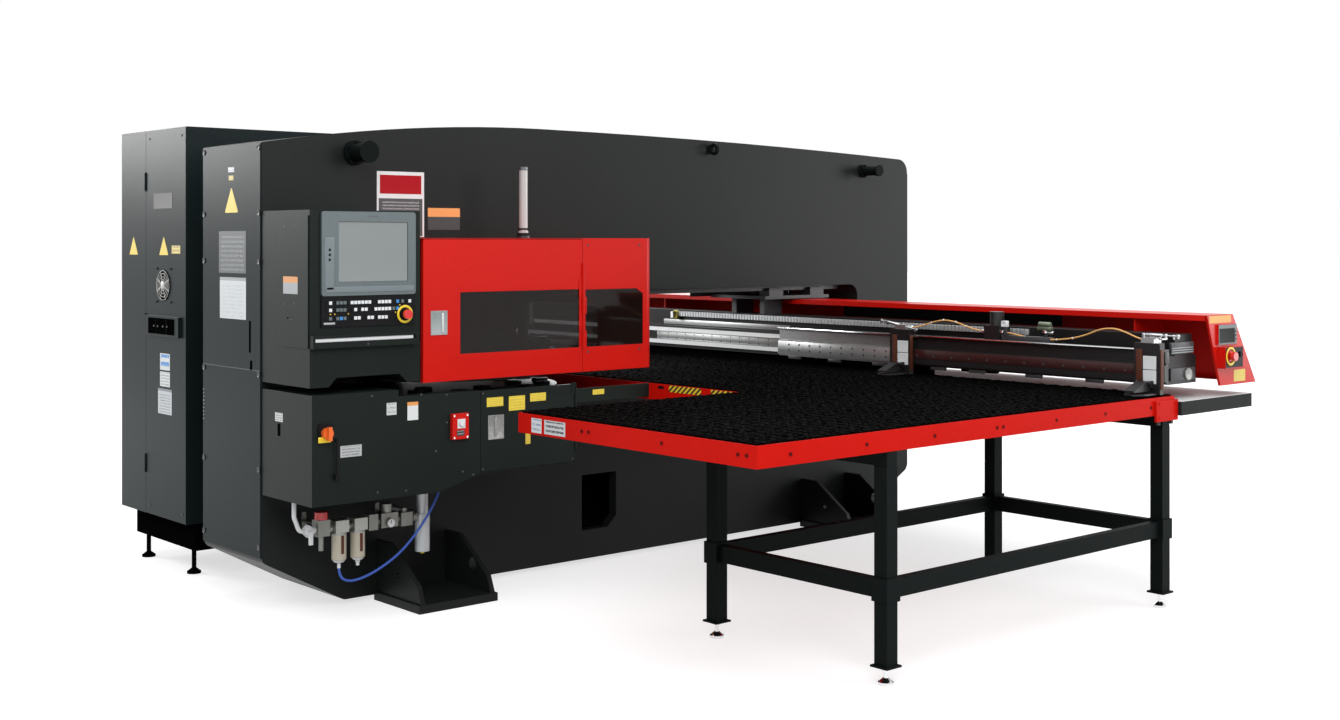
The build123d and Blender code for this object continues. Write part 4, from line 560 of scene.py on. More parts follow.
FITTINGS = Zoned("fitting_alloy", (0.48, 0.49, 0.50), 0.34, 0.9, 500, 0.08, 0.001, 0.10, zones=(
    ("Y", -1705.0, -1595.0, (0.006, 0.006, 0.006), 0.0),))

PAPER = (0.66, 0.68, 0.68)
BRIGHT_PAPER = (0.68, 0.70, 0.71)
YELLOW_PAPER = (0.72, 0.56, 0.12)
DARK_PAPER = (0.02, 0.02, 0.02)
ORANGE_BAND = (0.72, 0.30, 0.08)


# Modelling by hand

class Pick(Enum):
    """What is selected in edit mode."""

    EDGES = "EDGE"
    FACES = "FACE"


class Bench:
    """The tools that every sub-assembly models its pieces with."""

    @staticmethod
    def clear() -> None:
        """Leave edit mode and select nothing."""
        if bpy.context.object is not None and bpy.context.object.mode != "OBJECT":
            bpy.ops.object.mode_set(mode="OBJECT")
        bpy.ops.object.select_all(action="DESELECT")

    @staticmethod
    def settle(name: str) -> Piece:
        """Name the active object and put its place, turn and size into its mesh.

        Args:
            name: The object's new name.

        Returns:
            The object.
        """
        piece = bpy.context.object
        piece.name = name
        piece.data.name = name
        bpy.ops.object.transform_apply(location=True, rotation=True, scale=True)
        return piece

    @staticmethod
    def pick(piece: Piece, kind: Pick, test: Callable[[object], bool]) -> None:
        """Open a piece in edit mode with only what passes a test selected.

        Args:
            piece: The piece to open.
            kind: Whether its edges or its faces are looked at.
            test: Tells of one edge or face whether it is selected.
        """
        bpy.context.view_layer.objects.active = piece
        bpy.ops.object.mode_set(mode="EDIT")
        bpy.ops.mesh.select_mode(type=kind.value)
        bpy.ops.mesh.select_all(action="DESELECT")
        mesh = bmesh.from_edit_mesh(piece.data)
        for part in mesh.edges if kind is Pick.EDGES else mesh.faces:
            part.select_set(test(part))
        bmesh.update_edit_mesh(piece.data)

    @classmethod
    def soften(cls, piece: Piece, width: float, steps: int, test: Callable[[object], bool]) -> None:
        """Round the edges that pass a test.

        Args:
            piece: The piece to work on.
            width: How wide each rounding is.
            steps: Segments of each rounding.
            test: Tells of one edge whether it is rounded.
        """
        cls.pick(piece, Pick.EDGES, test)
        bpy.ops.mesh.bevel(offset=width, segments=steps, affect="EDGES")
        bpy.ops.object.mode_set(mode="OBJECT")

    @classmethod
    def slab(cls, name: str, low: Point, high: Point, bevel: float = 0.001, steps: int = 2) -> Piece:
        """Model a block with rounded edges.

        Args:
            name: The piece's name.
            low: Its lowest corner in workshop millimetres.
            high: Its highest corner.
            bevel: Radius of its edges in metres.
            steps: Segments of each edge.

        Returns:
            The piece.
        """
        cls.clear()
        start, end = at(*low), at(*high)
        bpy.ops.mesh.primitive_cube_add(size=1, location=(start + end) / 2)
        bpy.context.object.scale = end - start
        piece = cls.settle(name)
        if bevel:
            cls.soften(piece, bevel, steps, lambda edge: True)
        return piece

    @classmethod
    def round(cls, name: str, centre: Point, radius: float, depth: float, axis: Axis = Axis.Z,
              bevel: float = 0.001, sides: int = 24) -> Piece:
        """Model a round or many-sided piece with softened rims.

        Args:
            name: The piece's name.
            centre: Its centre in workshop millimetres.
            radius: Its radius in metres.
            depth: Its length along the axis in metres.
            axis: The axis it lies along.
            bevel: Radius of its rims in metres.
            sides: Number of sides.

        Returns:
            The piece.
        """
        cls.clear()
        bpy.ops.mesh.primitive_cylinder_add(vertices=sides, radius=radius, depth=depth, location=at(*centre),
                                            rotation=axis.value)
        piece = cls.settle(name)
        if bevel:
            cls.soften(piece, bevel, 2, lambda edge: edge.calc_face_angle(0) > RIM_ANGLE)
        return piece

    @classmethod
    def ring(cls, name: str, centre: Point, major: float, minor: float, sides: int, axis: Axis) -> Piece:
        """Model a round ring.

        Args:
            name: The piece's name.
            centre: Its centre in workshop millimetres.
            major: Radius of its middle line in metres.
            minor: Radius of its section in metres.
            sides: Sides of its section.
            axis: The axis it goes round.

        Returns:
            The piece.
        """
        cls.clear()
        bpy.ops.mesh.primitive_torus_add(major_radius=major, minor_radius=minor, major_segments=40,
                                         minor_segments=sides, location=at(*centre), rotation=axis.value)
        return cls.settle(name)

    @classmethod
    def sink(cls, piece: Piece, normal: Vector, rim: float, depth: float) -> None:
        """Inset the faces that look along a normal and push the middle in.

        Args:
            piece: The piece to work on.
            normal: The direction its face looks.
            rim: Width of the rim that stays.
            depth: How far the middle goes in, or out where negative.
        """
        cls.pick(piece, Pick.FACES,
                 lambda face: face.normal.dot(normal) > SAME_WAY and face.calc_area() > rim * rim * 4)
        bpy.ops.mesh.inset(thickness=rim, depth=-depth)
        bpy.ops.object.mode_set(mode="OBJECT")

    @classmethod
    def repeat(cls, piece: Piece, offsets: Iterable[Vector]) -> Piece:
        """Copy a finished piece to several places, each copy with its own mesh, and join them.

        Args:
            piece: The piece modelled once.
            offsets: How far each copy stands from it.

        Returns:
            The joined piece.
        """
        twins = []
        for offset in offsets:
            twin = piece.copy()
            twin.data = piece.data.copy()
            twin.data.transform(Matrix.Translation(offset))
            bpy.context.collection.objects.link(twin)
            twins.append(twin)
        return cls.merge(piece.name, [piece, *twins])

    @classmethod
    def merge(cls, name: str, pieces: Sequence[Piece]) -> Piece:
        """Join pieces of one finish into one.

        Args:
            name: The joined piece's name.
            pieces: What is joined.

        Returns:
            The joined piece.
        """
        cls.clear()
        for piece in pieces:
            piece.select_set(True)
        bpy.context.view_layer.objects.active = pieces[0]
        if len(pieces) > 1:
            bpy.ops.object.join()
        pieces[0].name = name
        return pieces[0]

    @classmethod
    def dress(cls, piece: Piece, finish: Finish, slot: str, body: str = "base") -> Piece:
        """Give a piece its finish and smooth shading, and let it ride on its body.

        Args:
            piece: The finished piece.
            finish: Its finish.
            slot: Not used.
            body: The CAD body it moves with.

        Returns:
            The piece.
        """
        cls.clear()
        piece.data.materials.clear()
        piece.data.materials.append(finish.material())
        piece.select_set(True)
        bpy.context.view_layer.objects.active = piece
        bpy.ops.object.shade_smooth_by_angle(angle=SMOOTH_ANGLE)
        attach(piece, body)
        log.info("piece %s rides on %s", piece.name, body)
        return piece

    @classmethod
    def group(cls, name: str, pieces: Sequence[Piece], finish: Finish, slot: str,
              body: str = "base") -> Piece:
        """Join pieces of one finish and dress them.

        Args:
            name: The joined piece's name.
            pieces: What is joined.
            finish: Its finish.
            slot: Not used; only passed on to dress.
            body: The CAD body it moves with.

        Returns:
            The piece.
        """
        return cls.dress(cls.merge(name, pieces), finish, slot, body)


def paint_node(frame: dict, node: str, finish: Finish) -> None:
    """Give a CAD node its finish.

    Args:
        frame: The loaded frame.
        node: The node's name.
        finish: Its finish.
    """
    for slot in frame["nodes"][node].material_slots:
        slot.material = finish.material()
    log.info("node %s has %s", node, finish.name)


# Sub-assemblies

@dataclass
class Hose:
    """A thin air tube along its route of control points."""

    name: str
    node: str
    body: str
    finish: Finish
    slot: str
    radius: float
    route: list[Point]

    def build(self) -> Piece:
        curve = bpy.data.curves.new(self.name, "CURVE")
        curve.dimensions = "3D"
        curve.bevel_depth = self.radius
        curve.bevel_resolution = 3
        curve.resolution_u = 12
        curve.use_fill_caps = True
        line = curve.splines.new("NURBS")
        line.points.add(len(self.route) - 1)
        for point, place in zip(line.points, self.route):
            point.co = (*at(*place), 1)
        line.order_u = 3
        line.use_endpoint_u = True
        tube = bpy.data.objects.new(self.name, curve)
        bpy.context.collection.objects.link(tube)
        curve.materials.append(self.finish.material())
        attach(tube, self.body)
        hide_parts(self.node)
        length = self.measure(tube)
        tuple(at(*self.route[0]))
        log.info("hose %s is %.3f m long", self.name, length)
        return tube

    def measure(self, tube: Piece) -> float:
        """Add up the tube's smooth line, without its thickness.

        Args:
            tube: The laid tube.

        Returns:
            Its length in metres.
        """
        bare = tube.data.copy()
        bare.bevel_depth = 0
        holder = bpy.data.objects.new("measure", bare)
        mesh = bpy.data.meshes.new_from_object(holder)
        ends = mesh.vertices
        total = sum((ends[e.vertices[0]].co - ends[e.vertices[1]].co).length for e in mesh.edges)
        bpy.data.meshes.remove(mesh)
        bpy.data.objects.remove(holder)
        bpy.data.curves.remove(bare)
        return total


@dataclass
class Hoses:
    """The blue drain hose under the lower box and the amber tubes along the carriage bar."""

    hose_x: float = 3318.0
    clamp_z: float = 1277.0
    clamp_ys: tuple[float, float] = (-1060.0, -2590.0)
    drive_y: float = -1650.0
    air_y: float = -250.0
    drain_z: float = 240.0

    def build(self) -> None:
        """Lay the three tubes."""
        for hose in (self.short_tube(), self.long_tube(), self.drain()):
            hose.build()

    def short_tube(self) -> Hose:
        """The arched tube from the first clamp to the cross drive."""
        start = self.clamp_ys[0] - 55
        reach = start - (self.drive_y + 70)
        shape = ((0, 0), (0.12, 8), (0.27, 31), (0.45, 49), (0.63, 41), (0.78, 19), (0.9, 6), (1, 0))
        route = [(self.hose_x, start - part * reach, self.clamp_z + rise) for part, rise in shape]
        return Hose("amber_tube_short", "clamp_hose_1", "x_carriage", AMBER_TUBE, "amber_hose", 0.004, route)

    def long_tube(self) -> Hose:
        """The tube that dips along the bar and arches over to the second clamp."""
        start = self.drive_y - 70
        shape = ((0, 0), (55, -5), (130, -19), (225, -27), (325, -25), (420, -13), (505, 9), (580, 41),
                 (660, 48), (730, 29), (780, 9))
        route = [(self.hose_x, start - along, self.clamp_z + rise) for along, rise in shape]
        route.append((self.hose_x, self.clamp_ys[1] + 55, self.clamp_z))
        return Hose("amber_tube_long", "clamp_hose_2", "x_carriage", AMBER_TUBE, "amber_hose", 0.004, route)

    def drain(self) -> Hose:
        """The blue hose that hangs from the first filter and climbs to the box."""
        y, z = self.air_y, self.drain_z
        shape = ((262, 0, 0), (263, -1, -26), (277, -6, -52), (308, -12, -66), (356, -20, -62),
                 (418, -30, -42), (484, -42, -8), (550, -53, 36), (610, -61, 92), (665, -64, 155),
                 (712, -66, 216), (748, -65, 275), (770, -63, 322), (778, -62, 352))
        route = [(x, y + forward, z + rise) for x, forward, rise in shape]
        return Hose("blue_drain_hose", "air_hose", "base", BLUE_TUBE, "blue_hose", 0.006, route)


@dataclass
class BrushTables:
    """The brush fields of the three tables, each a dark bed with rows of bristle tufts."""

    pitch: float = 29.0
    deck: float = 965.0
    root: float = 1000.0
    tip: float = 1020.0
    sway: float = 0.0030
    lean: float = 0.0035
    sag: float = 0.0020
    fields: tuple[tuple[float, float, float, float], ...] = (
        (1958, 3402, -1172, 1782), (618, 3402, -2642, -1188), (1488, 3402, 1798, 3252))

    def build(self) -> None:
        """Model the fields and let them stand for the CAD's mats."""
        for piece in [self.field(f"brush_field_{k}", *span) for k, span in enumerate(self.fields)]:
            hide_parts("brush_mats")

    def field(self, name: str, x0: float, x1: float, y0: float, y1: float) -> Piece:
        """Model one field: a dark bed with rows of flared bristle tufts.

        Args:
            name: The piece's name.
            x0: Left side in workshop millimetres.
            x1: Right side.
            y0: Front side.
            y1: Back side.

        Returns:
            The piece.
        """
        bed = Bench.slab(name + "_bed", (x0, y0, self.deck), (x1, y1, self.root), 0.002, 1)
        Bench.clear()
        middle = at(x0 + self.pitch / 2, y0 + self.pitch / 2, (self.root + self.tip) / 2)
        bpy.ops.mesh.primitive_cone_add(vertices=6, radius1=0.008, radius2=0.0115,
                                        depth=(self.tip - self.root) / 1000, location=middle,
                                        end_fill_type="TRIFAN")
        tuft = Bench.settle(name)
        for way, reach in (((1, 0, 0), x1 - x0), ((0, 1, 0), y1 - y0)):
            array = tuft.modifiers.new("rows", "ARRAY")
            array.count = int(reach / self.pitch)
            array.use_relative_offset = False
            array.use_constant_offset = True
            step = (reach - self.pitch) / (array.count - 1) / 1000
            array.constant_offset_displace = [part * step for part in way]
            bpy.context.view_layer.objects.active = tuft
            bpy.ops.object.modifier_apply(modifier=array.name)
        self.ruffle(tuft)
        return Bench.group(name, [tuft, bed], BRISTLE, "black_brush")

    def ruffle(self, tufts: Piece) -> None:
        """Push the tufts' tips about, each in its own way and in broad clumps."""
        for vertex in tufts.data.vertices:
            place = vertex.co
            if place.z > self.tip / 1000 - 0.001:
                wave = math.sin(place.x * 911.0) * math.cos(place.y * 577.0)
                clump = math.sin(place.x * 37.0 + 3 * math.sin(place.y * 29.0))
                place.x += self.sway * wave + self.lean * clump
                place.y += self.sway * math.sin(place.y * 733.0 + place.x * 401.0) - self.sway * clump
                place.z -= self.sway * abs(wave) + self.sag * abs(clump)


@dataclass
class Block:
    """A plain block with rounded edges, between two corners in workshop millimetres."""

    name: str
    low: Point
    high: Point
    finish: Finish
    slot: str
    body: str = "base"
    bevel: float = 0.001

    def build(self) -> Piece:
        """Model the block and dress it."""
        return Bench.dress(Bench.slab(self.name, self.low, self.high, self.bevel), self.finish, self.slot,
                           self.body)


@dataclass
class Plate:
    """A label, cover or thin plate on a face, with a raised or sunk middle."""

    name: str
    facing: Facing
    centre: Point
    width: float
    height: float
    finish: Finish
    slot: str = "white_plastic"
    body: str = "base"
    thick: float = 0.8
    rim: float = 0.0
    sunk: float = 0.0

    def build(self) -> Piece:
        """Model the plate and dress it."""
        low, high = self.facing.span(self.centre, self.width, self.height, self.thick)
        piece = Bench.slab(self.name, low, high, min(self.thick, 6.0) / 4000, 1)
        if self.rim:
            Bench.sink(piece, self.facing.normal, self.rim / 1000, self.sunk / 1000)
        return Bench.dress(piece, self.finish, self.slot, self.body)


def label(name: str, facing: Facing, centre: Point, size: tuple[float, float], ground: Colour,
          body: str = "base", **marks: object) -> Piece:
    """Model a label whose own finish carries its marks.

    Args:
        name: The label's name.
        facing: The way its face looks.
        centre: Its middle on the face, in workshop millimetres.
        size: Its width and height.
        ground: The colour of its field.
        body: The body it moves with.
        marks: Settings of the printed finish.

    Returns:
        The label.
    """
    finish = Printed(name + "_print", ground, 0.45, peel_scale=1200, peel_depth=0.04, facing=facing,
                     centre=centre, width=size[0], height=size[1], **marks)
    return Plate(name, facing, centre, *size, finish, body=body, thick=0.5).build()


@dataclass
class Bolts:
    """Equal bolt heads on one face, modelled once and copied."""

    name: str
    facing: Facing
    places: list[Point]
    radius: float
    height: float
    finish: Finish = BLACK_PAINT
    slot: str = "black_paint"
    body: str = "base"
    sides: int = 16

    def build(self) -> Piece:
        """Model one head with a driver recess, copy it to each place and dress them."""
        first = at(*self.places[0])
        middle = Vector(self.places[0]) + self.facing.normal * self.height / 2
        head = Bench.round(self.name, middle, self.radius / 1000, self.height / 1000, self.facing.axis,
                           self.height / 6000, self.sides)
        Bench.sink(head, self.facing.normal, self.radius / 2200, self.height / 2000)
        Bench.repeat(head, [at(*place) - first for place in self.places[1:]])
        return Bench.dress(head, self.finish, self.slot, self.body)


@dataclass
class YellowTriangle:
    """A plain yellow triangular plate with blunt corners, on a left face."""

    name: str
    centre: Point
    size: float
    body: str = "base"
    thick: float = 0.5

    def build(self) -> Piece:
        """Model the plate point upwards and dress it."""
        Bench.clear()
        x, y, z = self.centre
        middle = at(x - self.thick / 2, y, z - self.size * 0.16)
        bpy.ops.mesh.primitive_cylinder_add(vertices=3, radius=self.size / 1000 / math.sqrt(3),
                                            depth=self.thick / 1000, location=middle,
                                            rotation=(math.pi / 2, 0, math.pi / 2))
        piece = Bench.settle(self.name)
        Bench.soften(piece, self.size / 14000, 2, lambda edge: abs(
            (edge.verts[0].co - edge.verts[1].co).normalized().dot(LEFT.normal)) > 0.9)
        return Bench.dress(piece, YELLOW, "orange_plastic", self.body)


def stop_ring(name: str, centre: Point, radius: float, body: str = "base") -> Piece:
    """Model the yellow disc round an emergency stop.

    Args:
        name: The disc's name.
        centre: Its middle on its panel, in workshop millimetres.
        radius: Its radius in millimetres.
        body: The body it moves with.

    Returns:
        The disc.
    """
    section, flatness = 6, 0.35
    ring = Bench.ring(name, centre, (radius - section) / 1000, section / 1000, 8, Axis.Y)
    middle = at(*centre).y
    for vertex in ring.data.vertices:
        vertex.co.y = middle + (vertex.co.y - middle) * flatness
    return Bench.dress(ring, YELLOW, "orange_plastic", body)


@dataclass
class EndPanel:
    """The frame's left end: bolts, small labels, a triangle and printed plates."""

    x: float = -6.0

    def build(self) -> None:
        """Model the end's trim."""
        x = self.x
        rows = [(x, y, z) for y in (15, 595) for z in (330, 690, 1132, 1655, 1882, 2185)]
        Bolts("end_panel_bolts", LEFT, rows, 13, 5).build()
        label("end_small_white", LEFT, (x, 300, 2092), (62, 24), PAPER, rows=2)
        label("end_small_yellow", LEFT, (x, 300, 2052), (50, 22), YELLOW_PAPER, rows=2)
        YellowTriangle("end_triangle", (x, 297, 1950), 142).build()
        label("end_chart", LEFT, (x, 288, 1698), (286, 200), (0.035, 0.042, 0.045), rows=9,
              ink=(0.30, 0.34, 0.35), cover=0.44)
        label("end_notice", LEFT, (x, 283, 1479), (276, 198), (0.62, 0.65, 0.66), rows=11,
              band=(0.32, 0.34, 0.35), band_share=0.08, cover=0.36)
        Plate("end_slot_strip", LEFT, (x, 105, 1303), 18, 148, DUCT, "black_paint").build()
        Plate("end_lock_cover", LEFT, (x, 92, 1170), 22, 44, DUCT, "black_plastic").build()
        Block("end_cover_seam", (x - 0.4, 2, 1147), (x + 1, 608, 1150), BLACK_PAINT, "black_paint",
              bevel=0).build()
        Bolts("end_edge_studs", LEFT, [(x, 598, z) for z in range(880, 1040, 18)], 4, 2, LABEL_GREY,
              "grey_plastic").build()


@dataclass
class Cabinet:
    """The electrical cabinet's trim: sign plate, triangles, fan grille, latch plates and stickers."""

    x: float = 100.0
    latch_x: float = 84.0
    fan: tuple[float, float] = (1317.0, 1516.0)
    wire: float = 0.0016
    stay: float = 0.0018
    stay_length: float = 0.166
    door: str = "cabinet_door"

    def build(self) -> None:
        """Model the cabinet's trim."""
        x, door = self.x, self.door
        Plate("cabinet_sign", LEFT, (x, 1328, 1964), 238, 82, SIGN_GREY, "grey_plastic", door, 1.2, 8,
              0.4).build()
        YellowTriangle("cabinet_triangle_shell", (x, 1715, 1728), 116).build()
        YellowTriangle("cabinet_triangle_door", (x, 1318, 1728), 116, door).build()
        label("cabinet_yellow_label", LEFT, (x, 1165, 1706), (105, 42), YELLOW_PAPER, door, rows=2)
        label("cabinet_sticker_colour", LEFT, (x, 1303, 1110), (124, 88), PAPER, door, rows=2,
              ink=(0.04, 0.24, 0.60), cover=0.62)
        label("cabinet_sticker_white", LEFT, (x, 1303, 1018), (124, 78), BRIGHT_PAPER, door, rows=5)
        label("cabinet_sticker_notice", LEFT, (x, 1304, 900), (172, 134), (0.55, 0.58, 0.60), door, rows=9,
              band=(0.20, 0.22, 0.24), band_share=0.10)
        Bolts("cabinet_door_screws", LEFT, [(x, y, z) for y in (1500, 1090) for z in (2300, 330)], 6, 3, CAST,
              "chrome_plate", door).build()
        self.grille()
        for k, (y, width) in enumerate(((1432, 92), (1316, 118), (1199, 92))):
            Plate(f"latch_plate_{k}", LEFT, (self.latch_x, y, 1299), width, 84, DUCT, "grey_plastic", door,
                  3, 6, 1.5).build()
        Bolts("latch_bar_studs", LEFT, [(self.latch_x - 3, y, 1299) for y in (1399, 1349, 1283, 1232)], 5, 4,
              CAST, "chrome_plate", door, 12).build()

    def grille(self) -> None:
        """Model the fan's ring guard with its crossed stays, and the four screws round it."""
        y, z = self.fan
        x = self.x - 6
        wires = [Bench.ring(f"fan_ring_{k}", (x, y, z), radius / 1000, self.wire, 6, Axis.X)
                 for k, radius in enumerate((30, 46, 62, 78))]
        for k in range(4):
            Bench.clear()
            bpy.ops.mesh.primitive_cylinder_add(vertices=8, radius=self.stay, depth=self.stay_length,
                                                location=at(x, y, z),
                                                rotation=(math.pi / 4 * k + math.pi / 8, 0, 0))
            wires.append(Bench.settle(f"fan_stay_{k}"))
        wires.append(Bench.round("fan_hub_cap", (x, y, z), 0.022, 0.006, Axis.X))
        Bench.group("fan_guard", wires, ZINC, "chrome_plate", self.door)
        corners = [(self.x, y + a, z + b) for a in (-88, 88) for b in (-88, 88)]
        Bolts("fan_screws", LEFT, corners, 6, 8, slot="chrome_plate", body=self.door).build()


@dataclass
class Console:
    """The operator's console: screen, key panel, paper slot and the label on its side."""

    side_x: float = -6.0
    screen_y: float = -472.0
    keys_y: float = -471.0
    panel_y: float = -468.0
    ledge_y: float = -490.0
    cap: float = 15.0

    def build(self) -> None:
        """Model the console's trim."""
        self.display()
        self.keys()
        self.paper_slot()
        self.side()

    def display(self) -> None:
        """Model the pale screen, the lighter strips beside and below it and the small marks."""
        y = self.screen_y
        Plate("display_glass", FRONT, (315.5, y + 5.3, 1702.5), 356, 268, SCREEN, "smoked_glass", "base",
              2, 2, 0.3).build()
        for name, x, z, width, height in (("side", 91, 1650, 46, 236), ("foot", 300, 1534, 452, 26)):
            Plate(f"display_{name}_strip", FRONT, (x, y, z), width, height, BEZEL_LIGHT, "grey_plastic",
                  "base", 1.2, 3, -0.4).build()
        Bolts("display_side_marks", FRONT, [(91, y - 1.6, z) for z in (1712, 1690, 1668)], 6, 1.2,
              BLACK_PLASTIC, "black_plastic").build()
        label("display_top_strip", FRONT, (310, y, 1862), (60, 8), (0.10, 0.12, 0.13), rows=1)

    def keys(self) -> None:
        """Model the rows of white, grey and blue key caps, and the yellow ring of the stop button."""
        y = self.keys_y
        rows = (
            ("white", KEY_WHITE, {1475: (96, 204, 222, 240, 258, 276, 294, 344, 362, 380, 398, 504),
                                  1443: (96, 222, 258, 276, 326, 344, 362, 380, 398),
                                  1405: (222, 240, 290, 308, 344, 362, 380)}),
            ("grey", GREY_PLASTIC, {1475: (132, 150, 168, 466), 1443: (132, 150, 168, 420),
                                    1405: (96, 132, 168)}),
            ("blue", KEY_BLUE, {1475: (440,), 1405: (150,), 1443: (440,)}))
        for colour, finish, levels in rows:
            places = [(x, y, z) for z, xs in levels.items() for x in xs]
            key = Bench.slab("key_caps_" + colour, *FRONT.span(places[0], self.cap, self.cap, 2.2), 0.0008)
            Bench.sink(key, FRONT.normal, 0.002, 0.0004)
            Bench.repeat(key, [at(*place) - at(*places[0]) for place in places[1:]])
            Bench.dress(key, finish, "white_plastic")
        spots = ((118, 1425), (186, 1425), (430, 1425), (452, 1458), (96, 1425))
        marks = [(x, self.panel_y, z) for x, z in spots]
        Bolts("key_panel_marks", FRONT, marks, 3, 3.5, YELLOW, "orange_plastic", sides=12).build()
        stop_ring("console_stop_ring", (478, -474, 1415), 42)
        label("key_panel_mark", FRONT, (92, self.panel_y, 1384), (56, 9), (0.40, 0.42, 0.44), rows=1,
              cover=0.3)

    def paper_slot(self) -> None:
        """Model the white comb in the long slot of the ledge."""
        y = self.ledge_y + 6
        comb = Bench.slab("ledge_comb", (14, y, 1302.5), (516, y + 4, 1317), 0.0008)
        tooth = Bench.slab("ledge_comb_teeth", (17, y, 1316), (25, y + 4, 1321), 0.0008)
        Bench.repeat(tooth, [Vector((0.0136 * k, 0, 0)) for k in range(1, 37)])
        Bench.group("ledge_comb", [comb, tooth], WHITE, "white_plastic")
        Bolts("ledge_screws", FRONT, [(275, self.ledge_y, 1288)], 5, 2).build()

    def side(self) -> None:
        """Model the label and the screws on the console's side."""
        x = self.side_x
        label("console_side_label", LEFT, (x, -292, 1553), (136, 78), (0.36, 0.38, 0.39), cover=0.0,
              band_share=0.36, band=ORANGE_BAND)
        dots = [(x, y, z) for y, z in ((-232, 1818), (-330, 1824), (-232, 1468), (-330, 1472))]
        Bolts("console_side_dots", LEFT, dots, 4.5, 1.2).build()


@dataclass
class FrontPlate:
    """The plates on the bridge's front: a two-part plaque and a plain two-colour plate."""

    def build(self) -> None:
        """Model the plates."""
        Plate("plaque_ground", FRONT, (745, 0, 1932), 270, 323, LABEL_WHITE, "white_plastic", "base",
              1.2, 5, 0.2).build()
        Plate("plaque_field", FRONT, (745, -1.2, 2030), 236, 92, PLAQUE_RED, "red_plastic", "base",
              0.8, 3, 0.2).build()
        label("plaque_table", FRONT, (745, -1.2, 1868), (250, 186), (0.035, 0.036, 0.038), rows=12,
              ink=(0.36, 0.37, 0.38), cover=0.5)
        label("two_colour_plate", FRONT, (998, 0, 1862), (191, 110), DARK_PAPER, cover=0.0, band=ORANGE_BAND,
              band_share=0.40)


@dataclass
class ControlBox:
    """The box under the console: switch parts, keyhole, labels, screws and the door's catch."""

    y: float = -480.0
    red_y: float = -500.0
    door: str = "lower_door"

    def build(self) -> None:
        """Model the box's trim."""
        y, red_y, door = self.y, self.red_y, self.door
        label("box_side_label", LEFT, (0, -172, 950), (74, 40), (0.60, 0.62, 0.62), rows=4)
        Plate("box_keyhole", LEFT, (0, -172, 893), 24, 56, DUCT, "black_plastic", thick=1.2).build()
        Plate("switch_lower_cap", FRONT, (56, y - 8, 872), 62, 26, YELLOW, "orange_plastic", "base",
              5, 3, -1).build()
        label("box_long_label", FRONT, (194, y, 810), (108, 52), (0.42, 0.44, 0.44), rows=4)
        label("box_small_label", FRONT, (403, y, 984), (52, 56), (0.55, 0.57, 0.57), rows=3,
              ink=(0.2, 0.2, 0.2))
        label("box_three_part_label", FRONT, (516, y, 966), (58, 84), PAPER, cover=0.0, band=ORANGE_BAND,
              band_share=0.2)
        yellow = ((976, 977, 96, 44, door), (1105, 963, 96, 70, door), (1232, 984, 96, 40, door),
                  (1612, 985, 74, 26, "base"))
        for k, (x, z, width, height, body) in enumerate(yellow):
            label(f"yellow_plate_{k}", FRONT, (x, y, z), (width, height), (0.74, 0.56, 0.05), body, rows=5,
                  ink=(0.40, 0.30, 0.03), cover=0.45)
        label("door_tag", FRONT, (1171, y, 784), (30, 52), (0.62, 0.46, 0.05), door, cover=0.0)
        places = [(x, y, z) for x, z in ((301, 1050), (560, 1040), (700, 1030), (640, 770), (700, 900),
                                         (790, 660), (850, 640), (330, 610), (480, 602))]
        Bolts("box_screws", FRONT, places, 5, 2).build()
        Bolts("door_screws", FRONT, [(x, y, z) for x in (906, 1446) for z in (1022, 660)], 5, 2,
              body=door).build()
        Plate("door_grip_bezel", FRONT, (982, y + 2, 855.5), 92, 117, ZINC, "cast_grey", door, 3.5, 9,
              3.2).build()
        Plate("door_catch_face", FRONT, (982, y + 1, 855), 14, 92, ZINC, "cast_grey", door, 1.5, 3,
              -0.4).build()
        Bolts("red_box_screws", FRONT, [(x, red_y, z) for x in (730, 803) for z in (826, 929)], 5, 2.5,
              CHROME, "chrome_plate").build()
        label("red_box_label", FRONT, (766, red_y, 846), (44, 26), DARK_PAPER, rows=2, ink=(0.5, 0.5, 0.5))
        Plate("red_box_start_ring", FRONT, (770, red_y, 890), 44, 44, LABEL_WHITE, rim=5, sunk=0.3).build()


@dataclass
class Guard:
    """The turret guard: the pull's frame and bar, and the screws of its windows."""

    y: float = -460.0
    door: str = "guard_door"

    def build(self) -> None:
        """Model the guard's trim."""
        y, door = self.y, self.door
        Plate("guard_pull_frame", FRONT, (671, y, 1367), 92, 114, LABEL_GREY, "bare_aluminium", door,
              3, 9, 2.6).build()
        Plate("guard_pull_bar", FRONT, (692, y, 1367), 10, 92, LABEL_WHITE, "bare_aluminium", door, 4, 2,
              -1).build()
        Bolts("guard_window_screws", FRONT, [(x, y, z) for x in (770, 1147, 1510) for z in (1202, 1519)], 5,
              2, RED, "red_paint", door).build()
        Bolts("guard_fixed_screws", FRONT, [(x, y, z) for x in (1560, 1900) for z in (1190, 1730)], 6,
              2.5).build()


@dataclass
class SignalLamp:
    """The signal lamp's dark foot and collar."""

    x: float = 1310.0
    y: float = -250.0

    def build(self) -> None:
        """Model the foot and the collar above it."""
        rings = [Bench.round(f"lamp_ring_{k}", (self.x, self.y, z), radius / 1000, depth / 1000, Axis.Z,
                             min(depth, 8) / 5000, 32)
                 for k, (z, radius, depth) in enumerate(((1778, 31, 26), (1812, 27, 8)))]
        Bench.group("lamp_collars", rings, BLACK_PLASTIC, "black_plastic")


